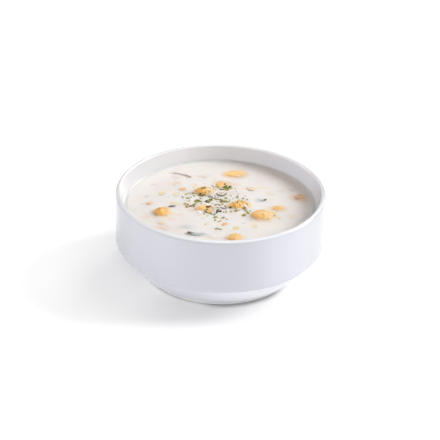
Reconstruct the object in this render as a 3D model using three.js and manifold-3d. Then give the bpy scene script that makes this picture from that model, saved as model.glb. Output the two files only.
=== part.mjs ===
// Yogurt soup with chickpeas and dried mint, in a white stacking bowl.
//
// A standalone three.js example. It exports a group of named meshes in millimetres, +Z up, with
// the origin on the table at the centre of the bowl's foot. -Y is the side nearest to somebody
// who looks into the bowl from the front, and +X is on their right.

import * as THREE from 'three';
import { mergeVertices } from 'three/addons/utils/BufferGeometryUtils.js';
import Module from 'manifold-3d';

const wasm = await Module();
wasm.setup();

// ---- The bowl -------------------------------------------------------------------------------

const RIM_RADIUS = 60;
const BOWL_HEIGHT = 50;
const LIP_OUTER_ROUND = 1.8;
const LIP_INNER_ROUND = 1.0;

// The upright band turns in under a rounded shoulder, which ends at the step that the bowl below
// it in a stack carries.
const BAND_BOTTOM = 20.2;
const STEP_RADIUS = 56.8;
const STEP_HEIGHT = 16.5;
const STEP_LEDGE = 1.0;

// Below the step the body curves in to a low foot with a shallow recess inside it.
const BODY_BULGE = new THREE.Vector2(53.6, 9.0);
const FOOT_RADIUS = 43;
const FOOT_HEIGHT = 1.3;
const FOOT_FLARE = 0.9;
const FOOT_EDGE_ROUND = 0.5;
const FOOT_RING_WIDTH = 3.8;
const FOOT_RECESS = 2.2;
const FOOT_RECESS_SLOPE = 1.6;

// The hollow: a flat floor, a long curve up, an upright wall, and a flare to the lip.
const FLOOR_HEIGHT = 6.4;
const FLOOR_RADIUS = 26;
const WALL_RADIUS = 54.6;
const WALL_START = 28;

// ---- The soup and what lies in it -----------------------------------------------------------

const SOUP_LEVEL = 41.2;
const SOUP_EDGE_RADIUS = 54.5;
const MENISCUS_RISE = 0.7;
const MENISCUS_REACH = 2.6;

// Pieces that touch keep this gap.
const GAP = 0.3;

// How finely round shapes are split.
const BOWL_SIDES = 60;
const DEGREES_PER_POINT = 30;
const LENGTH_PER_POINT = 6;
const CHICKPEA_SIDES = 12;
const CHICKPEA_RINGS = 9;

const WHITE = { color: 0xf3f3f7, roughness: 0.12, metalness: 0 };
const CREAM = { color: 0xece6e0, roughness: 0.3, metalness: 0 };
const GOLDEN = { color: 0xf2bd74, roughness: 0.5, metalness: 0 };
const BROWNED = { color: 0xb6978a, roughness: 0.5, metalness: 0 };
const DARK_STEM = { color: 0x5c5044, roughness: 0.6, metalness: 0 };

// Each chickpea floats with its middle at x, y and shows rise above the soup. size is its length,
// width and height, and heading is where its beak points, in degrees anticlockwise from +X.
const CHICKPEAS = [
  { name: 'chickpea_back', at: [8.6, 36.9], size: [13.8, 9.4, 6.4], rise: 1.8, heading: 186 },
  { name: 'chickpea_left', at: [-32.9, -12.2], size: [10.6, 10, 10], rise: 3.1, heading: 172 },
  { name: 'chickpea_right', at: [24.3, -13.4], size: [14, 11, 10.4], rise: 3.5, heading: 164 },
  { name: 'chickpea_half', at: [32.9, -3.6], size: [9.2, 6.4, 6], rise: 1.1, heading: 176 },
  { name: 'chickpea_front', at: [8.8, -39.6], size: [9.6, 8.8, 8.4], rise: 2.6, heading: 200 },
  { name: 'chickpea_inner_right', at: [11, -1.4], size: [13.4, 9.2, 9], rise: 2.8, heading: 190 },
  { name: 'chickpea_inner_left', at: [-9.6, 14.5], size: [12, 8.8, 8.8], rise: 2.7, heading: 188 },
  { name: 'chickpea_inner_front', at: [-8.5, -5.5], size: [11, 7.6, 8], rise: 2.1, heading: 20 },
  { name: 'chickpea_inner_back', at: [0.9, 23.6], size: [10.4, 8.2, 8.4], rise: 1.4, heading: 15 },
  { name: 'chickpea_shaded', at: [45.4, 9.6], size: [10.8, 8.8, 9], rise: 1.6, heading: 178 },
];

// Stems and curled shreds of mint. Each runs along a curve through its points: x, y, and the
// height of its middle above the soup's level.
const HERB_STRIPS = [
  {
    name: 'stem_back',
    width: 1.3,
    points: [[-28.6, 37.1, 0], [-24.9, 36.3, 0.05], [-22.2, 35.1, 0.1], [-19.9, 33.4, 0.2], [-17.6, 31.4, 0.3]],
  },
  { name: 'stem_left', width: 1.6, points: [[-29.6, -4.9, 0.1], [-27.7, -4.4, 0.25], [-25.6, -4, 0.2]] },
  {
    name: 'leaf_front',
    width: 2.8,
    points: [[-17.9, -34.7, 0.6], [-15.4, -35.6, 0.15], [-12.6, -36.4, -0.15], [-10.2, -36.9, -0.3]],
  },
  { name: 'leaf_right', width: 1.8, points: [[26.3, 6.2, 0.35], [24.6, 5.6, 0.15], [22, 5.9, -0.2]] },
  {
    name: 'curl_back',
    width: 1,
    points: [[-2.6, 12.3, 0.25], [-1.3, 10.8, 0.2], [0.7, 9.7, 0.15], [2.4, 10.8, 0.2], [3.2, 13.2, 0.25]],
  },
  {
    name: 'curl_left',
    width: 0.9,
    points: [[-7.5, 8.6, 0.25], [-5.9, 8.7, 0.3], [-4.9, 7.8, 0.2], [-4.5, 6.6, 0.1]],
  },
  {
    name: 'curl_front',
    width: 1,
    points: [[0, -3.9, 0.15], [1.3, -5.3, 0.1], [2.7, -5.4, 0.2], [3.6, -4.4, 0.3]],
  },
];
const STRIP_THICKNESS = 0.55;
const STRIP_STATIONS = 9;
const STRIP_END_WIDTH = 0.4;

// Dried mint was pinched over the middle: flakes lie in clumps round these points, and the last
// entry is the loose scatter between them.
const MINT_CLUMPS = [
  { x: -9.8, y: 16.5, spread: 3.0, flakes: 6 },
  { x: -20.5, y: 6.8, spread: 2.2, flakes: 5 },
  { x: -12.4, y: 2.6, spread: 2.0, flakes: 4 },
  { x: -17.0, y: -3.4, spread: 2.4, flakes: 6 },
  { x: -6.8, y: 3.2, spread: 1.8, flakes: 6 },
  { x: 0.9, y: 3.0, spread: 2.4, flakes: 6 },
  { x: 2.6, y: 19.4, spread: 3.8, flakes: 9 },
  { x: -7.4, y: -8.4, spread: 2.6, flakes: 5 },
  { x: -1.4, y: -9.4, spread: 1.7, flakes: 6 },
  { x: -2.6, y: -17.4, spread: 2.0, flakes: 4 },
  { x: 2.8, y: -17.2, spread: 1.6, flakes: 3 },
  { x: 5.6, y: -9.4, spread: 3.0, flakes: 4 },
  { x: 11.4, y: -1.0, spread: 4.2, flakes: 9 },
  { x: 15.0, y: -11.2, spread: 2.0, flakes: 4 },
  { x: -1.4, y: -29.3, spread: 1.5, flakes: 2 },
  { x: -2.0, y: 2.0, spread: 11.0, flakes: 34 },
];
const FLAKE_LENGTH = [1.3, 2.7];
const FLAKE_WIDTH = [0.8, 1.4];
const FLAKE_THICKNESS = 0.42;
const FLAKE_TILT = 0.16;
const FLAKE_SEED = 21;

// Broken bits of chickpea and swollen grains that break the surface: x, y and length.
const CRUMBS = [
  [9.1, -28.6, 4.4], [2.5, -23.3, 2.9], [-40.9, -1.6, 3.0], [-33.0, -24.2, 2.8], [-22.1, 17.0, 3.1],
  [-33.9, 10.5, 3.0], [-25.9, 10.9, 3.2], [33.0, -15.6, 4.2], [17.3, 19.3, 4.0], [19.3, -25.3, 2.8],
  [40.6, -13.1, 3.2], [-30.6, -30.0, 2.6], [-25.4, -0.9, 3.0], [-9.5, 33.8, 3.4], [-27.2, 22.8, 3.0],
];
const CRUMB_SIDES = 7;
const CRUMB_RINGS = 4;
const CRUMB_SEED = 8;

// ---- Helpers --------------------------------------------------------------------------------

const WELD = 1e-4;
const UP = new THREE.Vector3(0, 0, 1);
const DOWN = new THREE.Vector3(0, 0, -1);

/** A repeatable random number generator: each call gives a number from 0 to 1. */
function seededRandom(seed) {
  let state = seed >>> 0;
  return () => {
    state = (state + 0x6d2b79f5) >>> 0;
    let mixed = Math.imul(state ^ (state >>> 15), state | 1);
    mixed ^= mixed + Math.imul(mixed ^ (mixed >>> 7), mixed | 61);
    return ((mixed ^ (mixed >>> 14)) >>> 0) / 4294967296;
  };
}

/** The whole numbers from 0 up to, but not including, count. */
function range(count) {
  return Array.from({ length: count }, (_, i) => i);
}

/** A number drawn evenly between the two given. */
function between(random, [low, high]) {
  return low + (high - low) * random();
}

/** A number drawn round 0 in a bell curve of spread 1. */
function bell(random) {
  return Math.sqrt(-2 * Math.log(1 - random())) * Math.cos(2 * Math.PI * random());
}

/** A copy with only positions, its shared vertices joined and its collapsed triangles dropped. */
function welded(geometry) {
  const bare = geometry.clone();
  bare.deleteAttribute('normal');
  bare.deleteAttribute('uv');
  const joined = mergeVertices(bare, WELD);
  const corners = joined.index.array;
  const kept = [];
  for (let i = 0; i < corners.length; i += 3) {
    const [a, b, c] = corners.subarray(i, i + 3);
    if (a !== b && b !== c && c !== a) {
      kept.push(a, b, c);
    }
  }
  joined.setIndex(kept);
  return joined;
}

/** The closed geometry as a solid that can be joined to others and cut. */
function solidOf(geometry) {
  const closed = welded(geometry);
  const mesh = new wasm.Mesh({
    numProp: 3,
    vertProperties: closed.attributes.position.array,
    triVerts: new Uint32Array(closed.index.array),
  });
  return new wasm.Manifold(mesh);
}

/** The solid's surface as a geometry. */
function geometryOf(solid) {
  const mesh = solid.getMesh();
  const geometry = new THREE.BufferGeometry();
  geometry.setAttribute('position', new THREE.BufferAttribute(mesh.vertProperties, mesh.numProp));
  geometry.setIndex(new THREE.BufferAttribute(mesh.triVerts, 1));
  return geometry;
}

/** The solid without loose scraps or air bubbles that fusing shut in. */
function mainBody(solid) {
  const [largest] = solid.decompose().sort((a, b) => b.volume() - a.volume());
  return largest;
}

/** Moves each vertex to where move(vertex) puts it. */
function reshape(geometry, move) {
  const position = geometry.attributes.position;
  const vertex = new THREE.Vector3();
  for (let i = 0; i < position.count; i += 1) {
    vertex.fromBufferAttribute(position, i);
    move(vertex, i);
    position.setXYZ(i, vertex.x, vertex.y, vertex.z);
  }
  return geometry;
}

/** The shape pushed out by a distance all over, to cut the room that it floats in. */
function grown(geometry, distance) {
  const skin = welded(geometry);
  skin.computeVertexNormals();
  const normal = new THREE.Vector3();
  return reshape(skin, (vertex, i) => {
    normal.fromBufferAttribute(skin.attributes.normal, i);
    vertex.addScaledVector(normal, distance);
  });
}

/** A profile of radius and height turned round the Z axis. */
function turned(profile) {
  return new THREE.LatheGeometry(profile, BOWL_SIDES).rotateX(Math.PI / 2);
}

/** The points of a path: its curves are split by how far they turn and by their length. */
function pathPoints(path) {
  const points = [path.curves[0].getPoint(0)];
  for (const curve of path.curves) {
    const turn = THREE.MathUtils.radToDeg(curve.getTangent(1).angle() - curve.getTangent(0).angle());
    const degrees = Math.abs(THREE.MathUtils.euclideanModulo(turn + 180, 360) - 180);
    const bent = degrees > 1;
    const steps = Math.max(degrees / DEGREES_PER_POINT, curve.getLength() / LENGTH_PER_POINT);
    points.push(...curve.getPoints(bent ? Math.ceil(steps) : 1).slice(1));
  }
  return points;
}

/**
 * A thin solid round a curved surface. surface(u, v) gives the point of its middle layer, with u
 * and v from 0 to 1 along and across it, and both of its faces are split into triangles alike.
 */
function thinSolid(surface, along, across, thickness) {
  const positions = [];
  const index = [];
  const columns = across + 1;
  const layer = (along + 1) * columns;
  for (const side of [0.5, -0.5]) {
    for (let i = 0; i <= along; i += 1) {
      for (let j = 0; j <= across; j += 1) {
        const point = surface(i / along, j / across);
        positions.push(point.x, point.y, point.z + side * thickness);
      }
    }
  }
  const at = (i, j) => i * columns + j;
  for (let i = 0; i < along; i += 1) {
    for (let j = 0; j < across; j += 1) {
      const [a, b, c, d] = [at(i, j), at(i + 1, j), at(i + 1, j + 1), at(i, j + 1)];
      index.push(a, b, c, a, c, d);
      index.push(a + layer, c + layer, b + layer, a + layer, d + layer, c + layer);
    }
  }
  const rim = [
    ...range(along).map((i) => at(i, 0)),
    ...range(across).map((j) => at(along, j)),
    ...range(along).map((i) => at(along - i, across)),
    ...range(across).map((j) => at(0, across - j)),
  ];
  rim.forEach((p, k) => {
    const q = rim[(k + 1) % rim.length];
    index.push(p + layer, q + layer, q, p + layer, q, p);
  });
  const geometry = new THREE.BufferGeometry();
  geometry.setAttribute('position', new THREE.Float32BufferAttribute(positions, 3));
  geometry.setIndex(index);
  return geometry;
}

// ---- The bowl -------------------------------------------------------------------------------

/** The inside of the bowl from the middle of its floor up to the soup's edge. */
function hollowProfile() {
  const path = new THREE.Path();
  path.moveTo(0, FLOOR_HEIGHT);
  path.lineTo(FLOOR_RADIUS, FLOOR_HEIGHT);
  path.bezierCurveTo(44, FLOOR_HEIGHT, 53.2, 12, WALL_RADIUS, WALL_START);
  path.lineTo(SOUP_EDGE_RADIUS, SOUP_LEVEL);
  return pathPoints(path);
}

/** The outside of the bowl from the middle of its recess, round the foot and up over the lip. */
function outsideProfile() {
  const right = Math.PI / 2;
  const path = new THREE.Path();
  const ringInside = FOOT_RADIUS - FOOT_RING_WIDTH;
  const lipMiddle = RIM_RADIUS - LIP_OUTER_ROUND;
  path.moveTo(0, FOOT_RECESS);
  path.lineTo(ringInside - FOOT_RECESS_SLOPE, FOOT_RECESS);
  path.lineTo(ringInside, 0);
  path.lineTo(FOOT_RADIUS - FOOT_EDGE_ROUND, 0);
  path.absarc(FOOT_RADIUS - FOOT_EDGE_ROUND, FOOT_EDGE_ROUND, FOOT_EDGE_ROUND, -right, 0);
  path.lineTo(FOOT_RADIUS + FOOT_FLARE, FOOT_HEIGHT);
  path.quadraticCurveTo(BODY_BULGE.x, BODY_BULGE.y, STEP_RADIUS - STEP_LEDGE, STEP_HEIGHT);
  path.lineTo(STEP_RADIUS, STEP_HEIGHT);
  path.absellipse(STEP_RADIUS, BAND_BOTTOM, RIM_RADIUS - STEP_RADIUS, BAND_BOTTOM - STEP_HEIGHT, -right, 0);
  path.absarc(lipMiddle, BOWL_HEIGHT - LIP_OUTER_ROUND, LIP_OUTER_ROUND, 0, right);
  path.absarc(lipMiddle, BOWL_HEIGHT - LIP_INNER_ROUND, LIP_INNER_ROUND, right, 2 * right);
  return pathPoints(path);
}

function bowlGeometry() {
  return turned([...outsideProfile(), ...hollowProfile().reverse()]);
}

// ---- Chickpeas ------------------------------------------------------------------------------

/**
 * A cooked chickpea: a round seed with a beak at +X, a furrow between its two halves that runs
 * from the beak over the top, and the shallow dents that boiling leaves.
 */
function chickpeaGeometry([length, width, height], seed) {
  const random = seededRandom(seed);
  const beak = new THREE.Vector3(1, 0, 0.3).normalize();
  const beakSize = 0.24;
  const beakWidth = 0.42;
  const furrowDepth = 0.11;
  const furrowWidth = 0.17;
  const dents = range(7).map(() => ({
    middle: new THREE.Vector3(bell(random), bell(random), bell(random)).normalize(),
    depth: 0.11 * (random() - 0.4),
    spread: 0.35 + 0.25 * random(),
  }));
  const seedShape = new THREE.SphereGeometry(1, CHICKPEA_SIDES, CHICKPEA_RINGS).rotateX(Math.PI / 2);
  reshape(seedShape, (vertex) => {
    const direction = vertex.clone().normalize();
    const fromBeak = direction.angleTo(beak) / beakWidth;
    const fromFurrow = direction.y / furrowWidth;
    const onBack = THREE.MathUtils.smoothstep(direction.x + 0.6 * direction.z, -0.5, 0.5);
    let radius = 1 + beakSize * Math.exp(-fromBeak * fromBeak);
    radius -= furrowDepth * onBack * Math.exp(-fromFurrow * fromFurrow);
    for (const dent of dents) {
      const away = direction.angleTo(dent.middle) / dent.spread;
      radius -= dent.depth * Math.exp(-away * away);
    }
    vertex.copy(direction).multiplyScalar(radius);
  });
  seedShape.center();
  const size = seedShape.boundingBox.getSize(new THREE.Vector3());
  return welded(seedShape.scale(length / size.x, width / size.y, height / size.z));
}

/** A chickpea as a mesh, floating where its entry in the list says. */
function chickpeaMesh({ name, at, size, rise, heading }, number) {
  const [x, y] = at;
  const height = size[2];
  const finish = new THREE.MeshStandardMaterial(name === 'chickpea_shaded' ? BROWNED : GOLDEN);
  const mesh = new THREE.Mesh(chickpeaGeometry(size, number + 1), finish);
  mesh.name = name;
  mesh.rotation.z = THREE.MathUtils.degToRad(heading);
  mesh.position.set(x, y, SOUP_LEVEL + rise - height / 2);
  mesh.updateMatrixWorld();
  return mesh;
}

// ---- Stems and shreds of mint ---------------------------------------------------------------

/** A flat strip along its curve, narrower at both ends. */
function stripMesh({ name, width, points }) {
  const route = new THREE.CatmullRomCurve3(
    points.map(([x, y, above]) => new THREE.Vector3(x, y, SOUP_LEVEL + above)),
  );
  const surface = (u, v) => {
    const left = new THREE.Vector3().crossVectors(UP, route.getTangentAt(u)).normalize();
    const fullness = Math.sqrt(Math.sin(Math.PI * u));
    const half = (width / 2) * (STRIP_END_WIDTH + (1 - STRIP_END_WIDTH) * fullness);
    return route.getPointAt(u).addScaledVector(left, (2 * v - 1) * half);
  };
  const geometry = thinSolid(surface, STRIP_STATIONS, 1, STRIP_THICKNESS);
  const mesh = new THREE.Mesh(geometry, new THREE.MeshStandardMaterial(DARK_STEM));
  mesh.name = name;
  return mesh;
}

// ---- Mint flakes and crumbs -----------------------------------------------------------------

/** A dry scrap of leaf: a short thin piece, widest near its middle and folded across it. */
function flakeGeometry(random) {
  const length = between(random, FLAKE_LENGTH);
  const width = between(random, FLAKE_WIDTH);
  const fold = 0.12 + 0.16 * random();
  const skew = 0.3 * (random() - 0.5);
  const endWidth = 0.35 + 0.35 * random();
  const surface = (u, v) => {
    const middle = 1 - Math.abs(2 * u - 1);
    const half = (width / 2) * (endWidth + (1 - endWidth) * middle);
    return new THREE.Vector3((u - 0.5) * length, (2 * v - 1) * half + skew * middle, fold * middle);
  };
  return thinSolid(surface, 2, 1, FLAKE_THICKNESS);
}

/** A lumpy grain of the given length, its lower half under the soup. */
function crumbGeometry(random, length) {
  const grain = welded(new THREE.SphereGeometry(0.5, CRUMB_SIDES, CRUMB_RINGS).rotateX(Math.PI / 2));
  reshape(grain, (vertex) => vertex.multiplyScalar(1 - 0.16 * random()));
  return grain.scale(length, length * between(random, [0.6, 0.85]), length * 0.55);
}

/**
 * What a piece of the given reach would lie on at x, y: the chickpea under it, null for the open
 * soup, or undefined where it would cross an edge.
 */
function landing(toppings, x, y, reach) {
  const around = 8;
  const clearOfSoup = SOUP_LEVEL + 0.5;
  const edge = range(around).map((k) => {
    const angle = (2 * Math.PI * k) / around;
    return [reach * Math.cos(angle), reach * Math.sin(angle)];
  });
  const hits = [[0, 0], ...edge].map(([dx, dy]) => {
    const ray = new THREE.Raycaster(new THREE.Vector3(x + dx, y + dy, BOWL_HEIGHT), DOWN);
    return ray.intersectObjects(toppings, false)[0] ?? null;
  });
  if (hits.every((hit) => hit === null)) {
    return null;
  }
  const [middle] = hits;
  const onOne = hits.every((hit) => hit?.object === middle?.object && hit?.point.z > clearOfSoup);
  return onOne && middle.object.name.startsWith('chickpea') ? middle : undefined;
}

/** Lays flakes and crumbs, and gives for each mesh they land on, or the soup, the solids to fuse. */
function scatter(toppings) {
  const onSoup = [];
  const onChickpea = new Map(toppings.map((mesh) => [mesh, []]));
  const crumbRandom = seededRandom(CRUMB_SEED);
  for (const [x, y, length] of CRUMBS) {
    const crumb = crumbGeometry(crumbRandom, length);
    const turn = Math.PI * crumbRandom();
    if (landing(toppings, x, y, length / 2 + 2 * GAP) === null) {
      onSoup.push(solidOf(crumb.rotateZ(turn).translate(x, y, SOUP_LEVEL)));
    }
  }
  const random = seededRandom(FLAKE_SEED);
  for (const clump of MINT_CLUMPS) {
    for (const _ of range(clump.flakes)) {
      const x = clump.x + clump.spread * bell(random);
      const y = clump.y + clump.spread * bell(random);
      const flake = flakeGeometry(random).rotateZ(2 * Math.PI * random());
      flake.rotateX(FLAKE_TILT * bell(random)).rotateY(FLAKE_TILT * bell(random));
      const rest = landing(toppings, x, y, FLAKE_LENGTH[1] / 2 + GAP);
      if (rest === null) {
        onSoup.push(solidOf(flake.translate(x, y, SOUP_LEVEL)));
      } else if (rest) {
        const { object, point, face } = rest;
        const outward = face.normal.clone().transformDirection(object.matrixWorld);
        flake.applyQuaternion(new THREE.Quaternion().setFromUnitVectors(UP, outward));
        flake.translate(point.x, point.y, point.z);
        flake.applyMatrix4(object.matrixWorld.clone().invert());
        onChickpea.get(object).push(solidOf(flake));
      }
    }
  }
  return { onSoup, onChickpea };
}

// ---- The soup -------------------------------------------------------------------------------

/** The soup fills the hollow, with its surface drawn up a little where it meets the wall. */
function soupProfile() {
  const path = new THREE.Path();
  const edge = SOUP_EDGE_RADIUS - GAP;
  path.moveTo(edge, SOUP_LEVEL + MENISCUS_RISE);
  path.quadraticCurveTo(edge - MENISCUS_REACH / 3, SOUP_LEVEL, edge - MENISCUS_REACH, SOUP_LEVEL);
  path.lineTo(0, SOUP_LEVEL);
  const wall = hollowProfile().slice(0, -1);
  const against = wall.map(({ x, y }) => new THREE.Vector2(Math.max(0, x - GAP), y + GAP));
  return [...against, ...pathPoints(path)];
}

function soupSolid(toppings, laid) {
  const rooms = toppings.map((mesh) => solidOf(grown(mesh.geometry, GAP).applyMatrix4(mesh.matrixWorld)));
  const cut = rooms.reduce((soup, room) => soup.subtract(room), solidOf(turned(soupProfile())));
  return mainBody(laid.reduce((soup, piece) => soup.add(piece), cut));
}

// ---- The whole ------------------------------------------------------------------------------

const dish = new THREE.Group();

const bowl = new THREE.Mesh(welded(bowlGeometry()), new THREE.MeshStandardMaterial(WHITE));
bowl.name = 'bowl';

const chickpeas = CHICKPEAS.map(chickpeaMesh);
const strips = HERB_STRIPS.map(stripMesh);
const toppings = [...chickpeas, ...strips];
const { onSoup, onChickpea } = scatter(toppings);

const soup = new THREE.Mesh(geometryOf(soupSolid(toppings, onSoup)), new THREE.MeshStandardMaterial(CREAM));
soup.name = 'soup';

for (const mesh of chickpeas) {
  const whole = onChickpea.get(mesh).reduce((pea, flake) => pea.add(flake), solidOf(mesh.geometry));
  mesh.geometry = geometryOf(mainBody(whole));
}

dish.add(bowl, soup, ...toppings);

export default dish;
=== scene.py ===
# %% [markdown]
# # Yogurt soup in a white stacking bowl
#
# This scene dresses a small dish: a turned porcelain bowl, the soup in it, ten chickpeas that float
# half sunk, seven soft shreds of mint, crumbs of grain, and a pinch of dried mint with white curds.
# The dish already exists as plain solids in a frame. Every piece made here stands for one of those
# solids or lies on one, so the frame is loaded first, and its box is kept and printed at the end.

# %% Load the frame
import math
import random

import bmesh
import bpy
from mathutils import Matrix, Vector, noise
from mathutils.bvhtree import BVHTree


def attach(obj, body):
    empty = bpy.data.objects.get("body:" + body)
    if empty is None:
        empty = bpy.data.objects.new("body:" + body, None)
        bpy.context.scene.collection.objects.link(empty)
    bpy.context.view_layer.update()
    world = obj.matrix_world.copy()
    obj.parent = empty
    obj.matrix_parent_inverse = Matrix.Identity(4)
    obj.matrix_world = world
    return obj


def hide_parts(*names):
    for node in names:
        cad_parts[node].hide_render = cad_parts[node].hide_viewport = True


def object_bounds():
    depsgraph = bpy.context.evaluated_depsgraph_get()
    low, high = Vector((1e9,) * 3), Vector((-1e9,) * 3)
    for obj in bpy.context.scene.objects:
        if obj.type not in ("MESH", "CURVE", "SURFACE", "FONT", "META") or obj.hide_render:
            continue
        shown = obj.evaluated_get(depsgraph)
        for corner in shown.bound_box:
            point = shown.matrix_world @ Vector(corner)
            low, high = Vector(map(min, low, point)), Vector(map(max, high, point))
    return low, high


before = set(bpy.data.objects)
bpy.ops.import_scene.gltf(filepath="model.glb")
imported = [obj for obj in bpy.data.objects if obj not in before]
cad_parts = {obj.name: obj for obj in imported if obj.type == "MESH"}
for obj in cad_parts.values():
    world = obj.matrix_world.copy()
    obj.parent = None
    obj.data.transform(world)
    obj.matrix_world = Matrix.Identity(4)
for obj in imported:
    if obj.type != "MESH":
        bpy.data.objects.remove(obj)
cad_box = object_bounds()

MM = 0.001
RIM_RADIUS = round(cad_box[1].x / MM, 2)
BOWL_HEIGHT = round(cad_box[1].z / MM, 2)
SOUP_LEVEL = 41.2
print("rim radius", RIM_RADIUS, "mm, bowl height", BOWL_HEIGHT, "mm, soup at", SOUP_LEVEL, "mm")

# %% [markdown]
# ## The camera and the studio
#
# The picture was taken from far away with a long lens, from about 29 degrees above the table, and
# with the camera rolled by a degree and a half. A camera is a place and three directions: right,
# up, and back from the dish. Writing them as vectors keeps the roll simple, and the same vectors
# later send a ray through a point of the picture, to lay a scrap of mint just there.

# %% Camera
FRAME_SIDE = 440
FOCAL_PIXELS = 2000
SENSOR_WIDTH = 36
CAMERA_TARGET = Vector((-0.06, 0, 30.66)) * MM
CAMERA_DISTANCE = 1.150
CAMERA_ELEVATION = math.radians(28.938)
CAMERA_ROLL = math.radians(1.448)

camera_back = Vector((0, -math.cos(CAMERA_ELEVATION), math.sin(CAMERA_ELEVATION)))
level_right = Vector((1, 0, 0))
level_up = camera_back.cross(level_right)
camera_right = math.cos(CAMERA_ROLL) * level_right + math.sin(CAMERA_ROLL) * level_up
camera_up = math.cos(CAMERA_ROLL) * level_up - math.sin(CAMERA_ROLL) * level_right
camera_place = CAMERA_TARGET + camera_back * CAMERA_DISTANCE

lens = bpy.data.cameras.new("camera")
lens.sensor_width = SENSOR_WIDTH
lens.lens = FOCAL_PIXELS / FRAME_SIDE * SENSOR_WIDTH
lens.clip_start = 0.05
lens.clip_end = 50
camera = bpy.data.objects.new("camera", lens)
turn = Matrix((camera_right, camera_up, camera_back)).transposed().to_4x4()
camera.matrix_world = Matrix.Translation(camera_place) @ turn
bpy.context.scene.collection.objects.link(camera)
bpy.context.scene.camera = camera
print("lens", round(lens.lens, 1), "mm, camera", [round(c, 3) for c in camera_place])


def sight(x, y):
    """The direction from the camera through a point of the picture, in pixels from its top left."""
    across = (x - FRAME_SIDE / 2) / FOCAL_PIXELS
    upward = (FRAME_SIDE / 2 - y) / FOCAL_PIXELS
    return (camera_right * across + camera_up * upward - camera_back).normalized()


# %% [markdown]
# The dish stands on a white sweep in a tent of white cloth. The window is at the right: a broad
# strong panel, with a weaker one behind it. They stand a bit more than half as high as they are far,
# which throws the crescent that the wall casts on the soup and the pale shadow to the left. Low
# panels at the right, behind and in front, and a higher one in front, open up the dark sides without
# showing in the glaze, and the cloth gives an even glow from all round. Sun lamps with wide discs
# are used, because they are as strong at the far edge of the floor as at the dish.

# %% Light
# Each lamp: where it stands anticlockwise from +X, how high and how wide it is, all in degrees, its
# power, and whether the glaze mirrors it.
LAMPS = {
    "window_right": (15, 31, 26, 2.8, True),
    "window_back": (60, 31, 26, 0.65, True),
    "low_right": (0, 14, 28, 0.55, False),
    "low_back": (150, 14, 28, 0.85, False),
    "low_front": (240, 14, 28, 1.15, False),
    "front": (270, 36, 30, 0.7, False),
}
GLOW_STRENGTH = 0.14

for name, (azimuth, elevation, disc, power, mirrored) in LAMPS.items():
    lamp = bpy.data.lights.new(name, "SUN")
    lamp.energy = power
    lamp.angle = math.radians(disc)
    stand = bpy.data.objects.new(name, lamp)
    low = math.cos(math.radians(elevation))
    towards = Vector((
        low * math.cos(math.radians(azimuth)),
        low * math.sin(math.radians(azimuth)),
        math.sin(math.radians(elevation)),
    ))
    stand.visible_glossy = mirrored
    stand.rotation_euler = towards.to_track_quat("Z", "Y").to_euler()
    bpy.context.scene.collection.objects.link(stand)
print("lamps:", ", ".join(LAMPS))

glow = bpy.data.worlds.new("glow")
glow.use_nodes = True
glow.node_tree.nodes["Background"].inputs["Color"].default_value = (1, 1, 1, 1)
glow.node_tree.nodes["Background"].inputs["Strength"].default_value = GLOW_STRENGTH
bpy.context.scene.world = glow
bpy.context.scene.view_settings.view_transform = "Standard"

# %% [markdown]
# ## Finishes
#
# A material is a net of nodes. To read like arithmetic, one output of a node is wrapped in a small
# class that answers to +, -, * and /, and each operation adds a Math node. A second class holds the
# material and has one method that adds any other node.
#
# Food and glaze let some light in, so a slope on them is less dark than on a hard body. A finish may
# therefore let its normal lean towards straight up, which evens the light and leaves the shape.

# %% Shader helpers
class Wire:
    """One output of a node. Sums and products of wires add Math nodes to the same material."""

    def __init__(self, finish, socket):
        self.finish = finish
        self.socket = socket

    def math(self, operation, *values, clamp=False):
        """Adds one Math node."""
        settings = {"operation": operation, "use_clamp": clamp}
        return self.finish.node("ShaderNodeMath", settings, dict(enumerate(values)))

    def __add__(self, other):
        return self.math("ADD", self, other)

    def __sub__(self, other):
        return self.math("SUBTRACT", self, other)

    def __rsub__(self, other):
        return self.math("SUBTRACT", other, self)

    def __mul__(self, other):
        return self.math("MULTIPLY", self, other)

    def __truediv__(self, other):
        return self.math("DIVIDE", self, other)

    __radd__ = __add__
    __rmul__ = __mul__

    def clamped(self):
        """Kept between 0 and 1."""
        return self.math("ADD", self, 0, clamp=True)

    def rise(self, low, high):
        """0 below low, 1 above high, and a smooth step between them."""
        values = {"Value": self, "From Min": low, "From Max": high}
        return self.finish.node("ShaderNodeMapRange", {"interpolation_type": "SMOOTHSTEP"}, values)


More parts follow.
